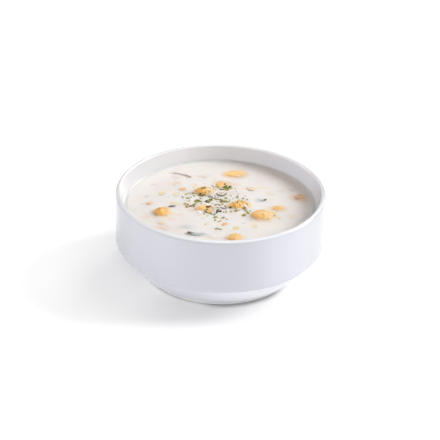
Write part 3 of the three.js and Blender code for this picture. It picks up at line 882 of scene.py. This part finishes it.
def spots_at(point, ragged):
    """The colour of each spot near a point, sunk piece or painted mark, and how strongly it shows there."""
    shown = []
    for middle, wide, deep, tint, share in spots:
        reach = math.hypot((point.x - middle.x) / wide, (point.y - middle.y) / deep) + ragged
        if reach < 2:
            shown.append((tint, share * hump(max(0, reach), 0.9)))
    return shown


def skin_colour(point, out, near, ragged, shown):
    """The colour of the soup's skin at a point."""
    colour = SOUP_CREAM
    for tint, cover in shown:
        colour = blend(colour, tint, cover)
    colour = blend(colour, PEA_HALO, HALO_SHARE * hump(max(0, near + 0.6 * ragged), HALO_REACH))
    # Cooler by the wall, with painted shade greying it at the left.
    by_wall = blend(LEFT_SHADE_CREAM, WALL_CREAM, smooth(point.x / MM, -50, -20))
    colour = blend(colour, by_wall, hump(max(0, SOUP_EDGE_RADIUS - out), WALL_REACH))
    # Painted shade: darker and warmer in the crescent of the wall's shadow at the back right.
    away = abs(math.remainder(math.atan2(point.y, point.x) - SHADY_SIDE, 2 * math.pi))
    return blend(colour, SHADY_CREAM, 0.5 * hump(away, 0.75) * smooth(out + 3 * ragged, 36, 52))


def skin_lift(point, out, near, height, shown):
    """How far to raise the soup's skin at a point, in millimetres."""
    lift = SWELL * noise.noise(point / (11 * MM)) + 0.35 * SWELL * noise.noise(point / (3.5 * MM))
    lift += SPOT_SWELL * sum(cover for _, cover in shown)
    lift += CLIMB * height * math.exp(-near / CLIMB_REACH)
    calm = smooth(-point.x / MM, 20, 40) * (1 - smooth(point.y / MM, 12, 30))
    climb = MENISCUS_RISE * (1 - CALM_SHARE * calm)
    return lift + climb * math.exp(-max(0, SOUP_EDGE_RADIUS - out) / MENISCUS_REACH) - SKIN_DROP


tint_of = {}
for vertex in top:
    point = vertex.co
    near, height = clear[vertex.index]
    out = math.hypot(point.x, point.y) / MM
    ragged = 0.4 * noise.noise(point / (1.5 * MM)) + 0.3 * noise.noise(point / (3.5 * MM))
    shown = spots_at(point, ragged)
    tint_of[vertex.index] = skin_colour(point, out, near, ragged, shown)
    vertex.co.z += skin_lift(point, out, near, height, shown) * MM
soup_skin = BVHTree.FromBMesh(soup_mesh)
tints = [c for v in soup_mesh.verts for c in (*tint_of.get(v.index, SOUP_CREAM)[:3], 1)]
print("soup:", len(soup_mesh.faces), "faces, highest", round(max(v.co.z for v in top) / MM, 2), "mm")


# %% [markdown]
# Yogurt soup is thick and dull white, with a wet shine where it is drawn up along the wall. Light
# goes a little way in, which softens its shadows. Tiny curds make its skin slightly uneven.

# %% Soup finish
def soup_finish():
    """Yogurt soup in its painted tint, glossy by the wall."""
    soup = Finish("yogurt_soup")
    curds = soup.grain(1.4, detail=2.0)
    drift = soup.grain(12, detail=2.0)
    fat = soup.grain(4.6, detail=3.0)
    whey = soup.grain(3.1, detail=3.0)
    wet = soup.from_axis().rise(52.6, 54.0)
    cream = soup.painted("tint", "Color")
    rosy = soup.mixed(drift.rise(0.35, 0.75) * 0.3, cream, rgb(234, 221, 219))
    warm = soup.mixed(fat.rise(0.5, 0.8) * 0.3, rosy, rgb(246, 220, 194))
    pale = soup.mixed(whey.rise(0.5, 0.8) * 0.5, warm, rgb(242, 242, 241))
    return soup.done(
        Base_Color=pale,
        Roughness=(0.32 + 0.15 * curds) * (1 - 0.7 * wet),
        Coat_Weight=wet * 0.9,
        Coat_Roughness=0.05,
        Normal=soup.bump(curds, 0.06, lean=0.6 * (1 - wet)),
        Subsurface_Weight=0.7,
        Subsurface_Radius=(1.0, 0.85, 0.7),
        Subsurface_Scale=3.0 * MM,
    )


soup = obj_from(soup_mesh, "yogurt_soup", soup_finish())
layer = soup.data.attributes.new("tint", "FLOAT_COLOR", "POINT")
layer.data.foreach_set("color", tints)
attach(soup, "root")
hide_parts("soup")

# %% [markdown]
# ## Stems and curled shreds of mint
#
# These are soft strips, thinner at their ends. A ring of points is set at each station along the
# route, lying across it and flattened, and the rings are bridged. A curve with a bevel would also
# do, but rings allow the width to change and the strip to twist as it goes.

# %% Strip places
# Each row: its skin, its width, how much soup covers its first and its last end, and between which
# shares of its length that changes, all from 0 to 1. Then its route in millimetres, with heights
# from the soup's level.
STRIPS = {
    "stem_back": (
        "stem", 1.0, (0.85, 0.25), (0.5, 0.95),
        [(-28.6, 37.1, 0), (-24.9, 36.3, 0.05), (-22.2, 35.1, 0.1), (-19.9, 33.4, 0.2), (-17.6, 31.4, 0.3)],
    ),
    "stem_left": (
        "stem", 1.6, (0.0, 0.3), (0.15, 0.7),
        [(-29.6, -4.9, 0.1), (-27.7, -4.4, 0.25), (-25.6, -4, 0.2)],
    ),
    "leaf_front": (
        "leaf", 2.6, (0.0, 0.97), (0.05, 0.5),
        [(-17.9, -34.7, 0.6), (-15.4, -35.6, 0.15), (-12.6, -36.4, -0.15), (-10.2, -36.9, -0.3)],
    ),
    "leaf_right": (
        "tip", 1.8, (0.0, 1.0), (0.35, 0.6),
        [(26.3, 6.2, 0.35), (24.6, 5.6, 0.15), (22, 5.9, -0.2)],
    ),
    "curl_back": (
        "curl", 1.0, (0.1, 0.1), (0.15, 0.7),
        [(-2.6, 12.3, 0.25), (-1.3, 10.8, 0.2), (0.7, 9.7, 0.15), (2.4, 10.8, 0.2), (3.2, 13.2, 0.25)],
    ),
    "curl_left": (
        "curl", 0.9, (0.2, 0.3), (0.15, 0.7),
        [(-7.5, 8.6, 0.25), (-5.9, 8.7, 0.3), (-4.9, 7.8, 0.2), (-4.5, 6.6, 0.1)],
    ),
    "curl_front": (
        "curl", 1.0, (0.3, 0.1), (0.15, 0.7),
        [(0, -3.9, 0.15), (1.3, -5.3, 0.1), (2.7, -5.4, 0.2), (3.6, -4.4, 0.3)],
    ),
}

# %% Strip shape
STRIP_THICKNESS = 0.5
STRIP_STATIONS = 28
STRIP_SIDES = 14
STRIP_END_WIDTH = 0.4
STRIP_TWIST = 0.35


def route_at(points, t):
    """A point, from t 0 to 1, on the smooth curve through the given points."""
    spans = len(points) - 1
    number = min(int(t * spans), spans - 1)
    u = t * spans - number
    first, last = points[0], points[-1]
    padded = [2 * first - points[1], *points, 2 * last - points[-2]]
    a, b, c, d = padded[number:number + 4]
    bend = 2 * a - 5 * b + 4 * c - d
    return 0.5 * (2 * b + (c - a) * u + bend * u * u + (3 * b - a - 3 * c + d) * u ** 3)


def strip_mesh(width, points):
    """Rings across the route, bridged, with closed ends, and how far along it each vertex is."""
    path = [Vector(p) + Vector((0, 0, SOUP_LEVEL)) for p in points]
    bm = bmesh.new()
    rings = []
    progress = []
    for i in range(STRIP_STATIONS + 1):
        t = i / STRIP_STATIONS
        middle = route_at(path, t)
        ahead = (route_at(path, min(1, t + 0.01)) - route_at(path, max(0, t - 0.01))).normalized()
        across = Vector((0, 0, 1)).cross(ahead).normalized()
        fullness = math.sqrt(max(0.02, math.sin(math.pi * t)))
        half = width / 2 * (STRIP_END_WIDTH + (1 - STRIP_END_WIDTH) * fullness)
        thick = STRIP_THICKNESS / 2 * (0.6 + 0.4 * fullness)
        roll = Matrix.Rotation(STRIP_TWIST * noise.noise(middle * 0.6), 4, ahead)
        basis = Matrix((across * half, ahead.cross(across) * -thick, ahead)).transposed().to_4x4()
        ring = bmesh.ops.create_circle(
            bm, segments=STRIP_SIDES, radius=1, cap_ends=i in (0, STRIP_STATIONS),
            matrix=Matrix.Scale(MM, 4) @ Matrix.Translation(middle) @ roll @ basis,
        )["verts"]
        inside = set(ring)
        progress += [t] * len(ring)
        rings.append([e for e in {e for v in ring for e in v.link_edges} if set(e.verts) <= inside])
    for near, far in zip(rings, rings[1:]):
        bmesh.ops.bridge_loops(bm, edges=near + far)
    bmesh.ops.recalc_face_normals(bm, faces=bm.faces)
    return bm, progress


# %% [markdown]
# A dried leaf has taken up soup. Two tones lie over it in fine patches, its veins are worn paler, and
# where it dips under the surface the film of soup hides it. One function makes the finish from its
# tones, and the flakes of dried mint use it too: no film is painted on them, so they stay bare.

# %% Herb finish
def herb_finish(name, dark, light, vein_colour, film_colour=SOUP_CREAM):
    """Dried herb in its dark and light tone, the tone of its worn veins, and its film of soup."""
    herb = Finish(name)
    patches = herb.grain(0.9, detail=3.0)
    veins = herb.grain(0.35, detail=2.0)
    tone = herb.mixed(patches.rise(0.35, 0.65), dark, light)
    worn = herb.mixed(veins.rise(0.6, 0.8) * 0.4, tone, vein_colour)
    wet = herb.mixed(herb.painted("film"), worn, film_colour)
    return herb.done(
        Base_Color=wet,
        Roughness=0.55 + 0.3 * patches,
        Normal=herb.bump(veins, 0.05, lean=0.5),
    )


SHRED_TONES = {
    "stem": (rgb(74, 58, 46), rgb(104, 88, 72), rgb(150, 138, 122)),
    "leaf": (rgb(50, 48, 32), rgb(84, 82, 58), rgb(130, 132, 118), rgb(186, 193, 192)),
    "tip": (rgb(92, 78, 44), rgb(142, 124, 70), rgb(176, 162, 116), rgb(212, 214, 218)),
    "curl": (rgb(104, 94, 66), rgb(138, 130, 98), rgb(172, 166, 138)),
}

# %% Strips
herb_skins = {skin: herb_finish("wet_" + skin, *tones) for skin, tones in SHRED_TONES.items()}
for name, (skin, width, (first, last), (start, end), points) in STRIPS.items():
    shape, progress = strip_mesh(width, points)
    strip = obj_from(shape, name + "_shred", herb_skins[skin])
    paint(strip, "film", [first + (last - first) * smooth(t, start, end) for t in progress])
    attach(strip, "root")
    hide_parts(name)
print("strips:", len(STRIPS))

# %% [markdown]
# ## Dried mint
#
# The mint was rubbed between the fingers, so it fell as crumpled scraps of a millimetre or two, no
# two alike, in greens, browns and near black. A flake starts as a small grid, its outline is made
# ragged, it is folded along its middle, and it is given a thickness. Each is then laid where the
# camera's ray through its place in the picture first meets the soup or a chickpea. The finest
# scraps are too many to place, so every colour but near black and grey also gets a seeded scatter of
# dust, thickest at the middle of the pinch. One piece holds all the flakes of one colour.

# %% Flake places
# Each row: x and y in the picture, in pixels, length in millimetres and direction in degrees.
FLAKES = {
    "olive": [
        (189.6, 193.3, 1.4, 20), (187.6, 198.2, 1.9, 150), (186.7, 206.7, 2.0, 100), (195.6, 201.8, 1.7, 160),
        (201.0, 201.7, 1.6, 10), (214.2, 198.6, 1.5, 45), (209.9, 201.7, 1.7, 70), (220.9, 192.9, 1.2, 20),
        (230.9, 195.5, 1.6, 130), (216.8, 204.5, 1.7, 30), (214.8, 205.4, 1.5, 60), (219.5, 205.1, 1.4, 160),
        (224.0, 201.9, 1.8, 0), (228.4, 202.0, 1.8, 20), (226.6, 198.4, 1.6, 15), (221.1, 199.6, 1.6, 60),
        (223.3, 212.3, 1.3, 100), (226.0, 212.1, 1.3, 20), (230.9, 211.6, 1.6, 120), (216.6, 217.1, 2.2, 25),
        (214.4, 217.9, 1.6, 60), (215.3, 220.3, 1.5, 80), (222.9, 218.1, 1.8, 10), (227.1, 219.2, 1.3, 170),
        (247.9, 212.9, 2.4, 115), (245.6, 209.6, 1.5, 60), (243.8, 215.6, 2.2, 20), (237.1, 197.9, 1.4, 160),
        (216.4, 229.0, 1.8, 5), (219.7, 229.0, 1.8, 5), (231.1, 188.6, 1.6, 30), (227.5, 189.9, 1.7, 70),
        (211.6, 213.4, 1.6, 20), (184.9, 203.9, 1.6, 60), (247.5, 199.8, 1.5, 100),
    ],
    "light_olive": [
        (186.3, 194.5, 1.9, 20), (190.9, 197.3, 1.4, 80), (189.6, 201.1, 1.2, 30), (201.6, 198.6, 1.5, 40),
        (209.0, 213.5, 2.6, 8), (196.7, 203.5, 1.8, 70), (222.6, 204.5, 1.4, 10), (236.7, 209.1, 1.5, 60),
        (219.1, 221.6, 1.5, 70), (207.7, 216.0, 1.2, 60), (225.6, 200.6, 1.6, 160), (218.5, 185.5, 2.0, 150),
        (219.5, 187.7, 1.8, 110), (236.0, 207.4, 1.4, 45), (241.8, 201.7, 1.2, 30), (194.5, 196.0, 1.3, 90),
        (234.6, 206.0, 1.3, 80), (205.4, 224.5, 1.0, 40), (220.8, 221.0, 1.1, 0), (209.7, 191.1, 1.2, 60),
        (221.4, 229.4, 1.0, 30), (233.4, 204.4, 0.8, 20), (236.1, 203.6, 0.8, 90),
        (238.4, 200.6, 0.9, 40), (246.1, 203.2, 0.8, 60), (241.8, 199.8, 0.8, 10),
        (244.9, 201.6, 0.7, 130), (233.2, 202.8, 1.2, 120), (213.4, 207.8, 1.3, 40),
    ],
    "green": [
        (203.0, 188.4, 2.2, 40), (199.4, 195.2, 1.8, 160), (193.4, 205.2, 2.5, 30), (207.4, 209.6, 1.7, 80),
        (225.4, 187.1, 2.4, 30), (227.0, 188.5, 2.2, 150), (222.9, 189.4, 1.9, 50), (197.9, 200.9, 2.4, 155),
        (209.8, 200.2, 1.8, 90), (221.7, 201.2, 1.8, 20),
    ],
    "brown": [
        (200.4, 193.4, 1.8, 30), (203.4, 195.3, 2.3, 8), (206.1, 211.9, 2.0, 150), (190.8, 206.2, 2.0, 20),
        (220.8, 202.1, 1.6, 170), (226.0, 202.0, 1.5, 20), (227.6, 190.0, 1.4, 10), (220.8, 189.5, 1.4, 20),
        (214.2, 214.7, 1.7, 50), (236.5, 211.1, 1.5, 70), (234.4, 211.6, 1.0, 20), (230.4, 207.4, 1.6, 50),
        (204.1, 213.9, 1.0, 70), (193.4, 193.3, 1.7, 170), (224.9, 184.1, 1.3, 90),
        (243.2, 198.4, 1.3, 60), (216.5, 207.9, 1.0, 0), (194.5, 206.8, 1.5, 40), (187.9, 204.6, 1.1, 120),
    ],
    "black": [
        (206.4, 201.4, 1.7, 60), (207.9, 202.4, 1.2, 150), (211.3, 200.4, 1.8, 100), (200.5, 193.9, 1.3, 80),
        (217.2, 211.4, 1.6, 110), (219.6, 211.4, 1.8, 20), (220.7, 211.4, 1.5, 70), (216.7, 212.8, 1.5, 60),
        (218.0, 209.8, 1.2, 30), (230.4, 187.0, 2.0, 30), (212.4, 210.3, 1.1, 80), (204.6, 188.0, 1.2, 45),
        (219.6, 205.4, 1.0, 90), (245.8, 200.0, 1.0, 20), (250.4, 210.8, 1.1, 40),
    ],
    "russet": [
        (206.8, 207.0, 1.2, 5), (208.6, 206.8, 1.4, 5), (210.4, 206.4, 1.2, 12), (244.4, 207.9, 1.7, 60),
        (242.9, 198.6, 1.2, 45), (206.0, 211.3, 1.2, 110), (191.6, 206.0, 1.2, 0), (230.2, 207.0, 1.1, 100),
        (237.6, 202.6, 1.0, 20),
        (247.2, 204.6, 0.7, 40), (235.2, 205.1, 0.7, 120),
    ],
    "grey": [
        (237.6, 196.4, 1.7, 80), (235.4, 188.4, 1.1, 20), (236.5, 191.7, 1.0, 90), (182.1, 196.9, 1.3, 150),
        (245.9, 210.9, 1.1, 30), (238.3, 194.2, 0.9, 30), (182.8, 198.0, 0.9, 60),
    ],
}
# Each colour's dark tone, its light tone and the tone of its worn veins.
FLAKE_TONES = {
    "olive": (rgb(150, 140, 34), rgb(196, 183, 74), rgb(210, 197, 108)),
    "light_olive": (rgb(200, 191, 90), rgb(224, 213, 126), rgb(234, 222, 162)),
    "green": (rgb(104, 118, 34), rgb(150, 158, 64), rgb(176, 180, 98)),
    "brown": (rgb(134, 100, 52), rgb(176, 140, 86), rgb(198, 170, 122)),
    "black": (rgb(58, 44, 26), rgb(104, 84, 54), rgb(134, 114, 80)),
    "russet": (rgb(104, 58, 34), rgb(148, 92, 56), rgb(186, 136, 94)),
    "grey": (rgb(140, 140, 122), rgb(172, 172, 156), rgb(200, 198, 184)),
}
# The dust is spread round a point of the picture, in pixels across and down.
DUST_MIDDLE = (216, 199)
DUST_SPREAD = (32, 17)
DUST_COUNTS = {
    "olive": 32, "light_olive": 30, "green": 6, "brown": 9, "black": 0, "russet": 7, "grey": 0,
}

# %% Flake shape
FLAKE_THICKNESS = 0.16
# A ragged edge takes some of a flake away, so each is made a little longer than it looks.
FLAKE_SIZE = 1.12
FLAKE_RAGGED = 0.42
FLAKE_TAPER = 0.5
FLAKE_CRUMPLE = 0.12
FLAKE_GAP = 0.05
# Where the soup slopes by less than about 14 degrees, a scrap lies level.
LEVEL_ENOUGH = 0.97


def first_hit(x, y):
    """Where the ray through a point of the picture first meets soup or chickpea, and its normal."""
    way = sight(x, y)
    hits = [tree.ray_cast(camera_place, way) for tree in (soup_skin, *floating.values())]
    spot, normal, _, _ = min((h for h in hits if h[0] is not None), key=lambda h: h[3])
    return spot, normal


def laid_on(spot, normal):
    """The move that takes a piece to a spot, and tilts it along the surface if that slopes."""
    tilt = Matrix() if normal.z >= LEVEL_ENOUGH else normal.to_track_quat("Z", "X").to_matrix().to_4x4()
    return Matrix.Translation(spot) @ tilt


def flake_on(bm, spot, normal, length, direction, draws):
    """Adds one crumpled scrap, lying on the surface."""
    length *= FLAKE_SIZE
    width = length * draws.uniform(0.5, 0.8)
    fold = draws.uniform(0.05, 0.22) * width
    curl = draws.uniform(-0.06, 0.16) * length
    offset = Vector((draws.uniform(0, 50), draws.uniform(0, 50), 0))
    grid = bmesh.ops.create_grid(bm, x_segments=5, y_segments=3, size=0.5)["verts"]
    for vertex in grid:
        x, y = vertex.co.x * 2, vertex.co.y * 2
        ragged = 1 + FLAKE_RAGGED * noise.noise(Vector((x, y, 0)) * 1.9 + offset)
        taper = 1 - FLAKE_TAPER * x * x
        crumple = FLAKE_CRUMPLE * noise.noise(Vector((x, y, 3)) * 2.3 + offset)
        lift = fold * abs(y) + curl * x * x * 0.5 + crumple
        vertex.co = Vector((x * length / 2 * ragged, y * width / 2 * ragged * taper, lift))
    lean = Matrix.Rotation(draws.gauss(0, 0.22), 4, "X") @ Matrix.Rotation(draws.gauss(0, 0.2), 4, "Y")
    heading = Matrix.Rotation(math.radians(direction), 4, "Z")
    lay = laid_on(spot + normal * FLAKE_GAP * MM, normal)
    place = lay @ Matrix.Scale(MM, 4) @ lean @ heading
    bmesh.ops.transform(bm, matrix=place, verts=grid)


def dust_rows(draws, count):
    """Places of the finest scraps, which fall thickest at the middle of the pinch."""
    rows = []
    for _ in range(count):
        way = draws.uniform(0, 2 * math.pi)
        out = draws.random()
        x = DUST_MIDDLE[0] + DUST_SPREAD[0] * out * math.cos(way)
        y = DUST_MIDDLE[1] + DUST_SPREAD[1] * out * math.sin(way)
        rows.append((x, y, draws.uniform(0.5, 0.95), draws.uniform(0, 180)))
    return rows


# %% Flakes
def flakes_piece(tone, rows, seed):
    """All the flakes and the dust of one colour."""
    draws = random.Random(seed)
    dust = dust_rows(random.Random(seed + 40), DUST_COUNTS[tone])
    bm = bmesh.new()
    for x, y, length, direction in [*rows, *dust]:
        spot, normal = first_hit(x, y)
        flake_on(bm, spot, normal, length, direction, draws)
    bmesh.ops.recalc_face_normals(bm, faces=bm.faces)
    bmesh.ops.solidify(bm, geom=bm.faces[:], thickness=FLAKE_THICKNESS * MM)
    bmesh.ops.recalc_face_normals(bm, faces=bm.faces)
    piece = obj_from(bm, "mint_" + tone, herb_finish("dried_mint_" + tone, *FLAKE_TONES[tone]))
    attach(piece, "root")
    return piece


for seed, (tone, rows) in enumerate(FLAKES.items(), start=1):
    flakes = flakes_piece(tone, rows, seed)
    print(flakes.name, len(rows), "flakes,", len(flakes.data.polygons), "faces")

# %% [markdown]
# ## Crumbs and grains
#
# Bits that broke off the chickpeas and swollen grains of wheat break the surface here and there. Each
# is a lumpy icosphere, flattened and sunk until little more than its crown is bare, and the film of
# soup closes over it towards its edge. So low a crumb has no dark side, so its normal leans nearly
# straight up.

# %% Crumbs
# Each row: x, y and length in millimetres, and from 0 to 1 how orange it is and how much soup hides
# its crown.
CRUMBS = [
    (9.1, -27.6, 4.0, 0.2, 0.0), (2.5, -23.3, 3.8, 0.8, 0.0), (-40.9, -1.6, 3.4, 0.8, 0.2),
    (-33.0, -24.2, 3.4, 0.2, 0.1), (-22.1, 17.0, 4.2, 0.6, 0.1), (-33.9, 10.5, 3.8, 0.1, 0.0),
    (-25.9, 10.9, 3.8, 0.1, 0.2), (32.2, -13.9, 4.6, 0.0, 0.1), (29.6, -11.5, 5.4, 0.35, 0.1),
    (17.3, 19.3, 4.6, 0.3, 0.3), (19.3, -25.3, 3.4, 0.1, 0.2), (40.6, -13.1, 3.6, 0.0, 0.3),
    (-30.6, -30.0, 3.0, 0.4, 0.6), (-25.4, -0.9, 3.6, 0.1, 0.2), (-9.5, 33.8, 3.6, 0.3, 0.6),
    (-27.2, 22.8, 3.4, 0.4, 0.5), (-6.2, -8.6, 4.6, 0.7, 0.1),
]
CRUMB_FLATNESS = 0.17
CRUMB_LUMPS = 0.35
CRUMB_DEPTH = 0.05


def crumb_finish():
    """Pale grain to orange chickpea, under its film of soup."""
    crumb = Finish("crumb")
    tone = crumb.painted("ripe") + 0.4 * crumb.grain(1.2) - 0.2
    colour = crumb.mixed(tone.rise(0.0, 0.85), rgb(253, 230, 168), rgb(255, 182, 84))
    return crumb.done(
        Base_Color=crumb.mixed(crumb.painted("film"), colour, SOUP_CREAM),
        Roughness=0.4,
        Normal=crumb.leaning(0.85),
    )


def crumbs_piece():
    """All the crumbs, with their ripeness and their film of soup painted on."""
    draws = random.Random(8)
    bm = bmesh.new()
    ripe = []
    film = []
    for x, y, length, orange, hidden in CRUMBS:
        made = bmesh.ops.create_icosphere(bm, subdivisions=4, radius=0.5)["verts"]
        offset = Vector((draws.uniform(0, 50), 0, 0))
        squash = Matrix.Diagonal((length, length * draws.uniform(0.7, 0.95), length * CRUMB_FLATNESS, 1))
        heading = Matrix.Rotation(draws.uniform(0, math.pi), 4, "Z")
        spot = soup_skin.ray_cast(Vector((x * MM, y * MM, 0.1)), Vector((0, 0, -1)))[0]
        level = spot.z / MM - CRUMB_DEPTH
        place = Matrix.Translation(Vector((x, y, level)))
        for vertex in made:
            vertex.co *= 1 + CRUMB_LUMPS * noise.noise(vertex.co * 4 + offset)
        bmesh.ops.transform(bm, matrix=Matrix.Scale(MM, 4) @ place @ heading @ squash, verts=made)
        for vertex in made:
            above = vertex.co.z / MM - level
            ragged = 0.15 * noise.noise(vertex.co / (0.8 * MM))
            ripe.append(orange)
            film.append(1 - (FILM_MOST - hidden) * smooth(above + ragged, 0.02, 0.07 * length))
    piece = obj_from(bm, "grain_crumbs", crumb_finish())
    paint(piece, "ripe", ripe)
    paint(piece, "film", film)
    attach(piece, "root")
    return piece


crumbs = crumbs_piece()
print("crumbs:", len(CRUMBS), "with", len(crumbs.data.polygons), "faces")

# %% [markdown]
# Small white curds cling to the herbs and chickpeas, and give the picture its brightest points. They
# are laid like the flakes, as flat lumps made from icospheres.

# %% Curds
# Each row: x and y in the picture, in pixels, length in millimetres and direction in degrees.
CURDS = [
    (208.0, 189.6, 1.8, 75), (207.4, 204.7, 2.6, 8), (199.2, 211.9, 2.6, 10), (245.4, 205.7, 2.0, 30),
    (213.8, 185.6, 1.8, 80), (216.2, 178.9, 1.2, 0), (168.6, 197.0, 1.3, 0), (195.3, 197.2, 1.4, 20),
    (190.4, 199.4, 1.4, 0), (227.8, 210.4, 2.4, 10), (225.2, 216.2, 2.6, 20), (240.6, 200.8, 1.2, 50),
    (222.5, 180.6, 1.6, 10), (204.0, 187.0, 1.0, 30), (232.0, 196.4, 2.2, 0), (171.6, 202.4, 1.2, 30),
]
CURD_LUMPS = 0.4
CURD_HEIGHT = 0.7


def curds_piece():
    """All the curds in one piece."""
    draws = random.Random(21)
    bm = bmesh.new()
    for x, y, length, direction in CURDS:
        spot, normal = first_hit(x, y)
        made = bmesh.ops.create_icosphere(bm, subdivisions=3, radius=0.5)["verts"]
        offset = Vector((0, draws.uniform(0, 50), 0))
        for vertex in made:
            vertex.co *= 1 + CURD_LUMPS * noise.noise(vertex.co * 4 + offset)
        squash = Matrix.Diagonal((length, length * draws.uniform(0.5, 0.8), CURD_HEIGHT, 1))
        heading = Matrix.Rotation(math.radians(direction), 4, "Z")
        place = laid_on(spot, normal) @ Matrix.Scale(MM, 4) @ heading @ squash
        bmesh.ops.transform(bm, matrix=place, verts=made)
    bmesh.ops.recalc_face_normals(bm, faces=bm.faces)
    white = Finish("curd").done(
        Base_Color=rgb(254, 252, 246),
        Roughness=0.35,
        Subsurface_Weight=0.4,
        Subsurface_Radius=(1.0, 0.9, 0.8),
        Subsurface_Scale=0.8 * MM,
    )
    piece = obj_from(bm, "white_curds", white)
    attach(piece, "root")
    return piece


curds = curds_piece()
print("curds:", len(CURDS), "with", len(curds.data.polygons), "faces")

# %% [markdown]
# ## Sizes
#
# The dressed dish must stay inside the box of the plain solids, so that box is printed.

# %% Plain box
print("plain box", [[round(c, 4) for c in corner] for corner in cad_box])
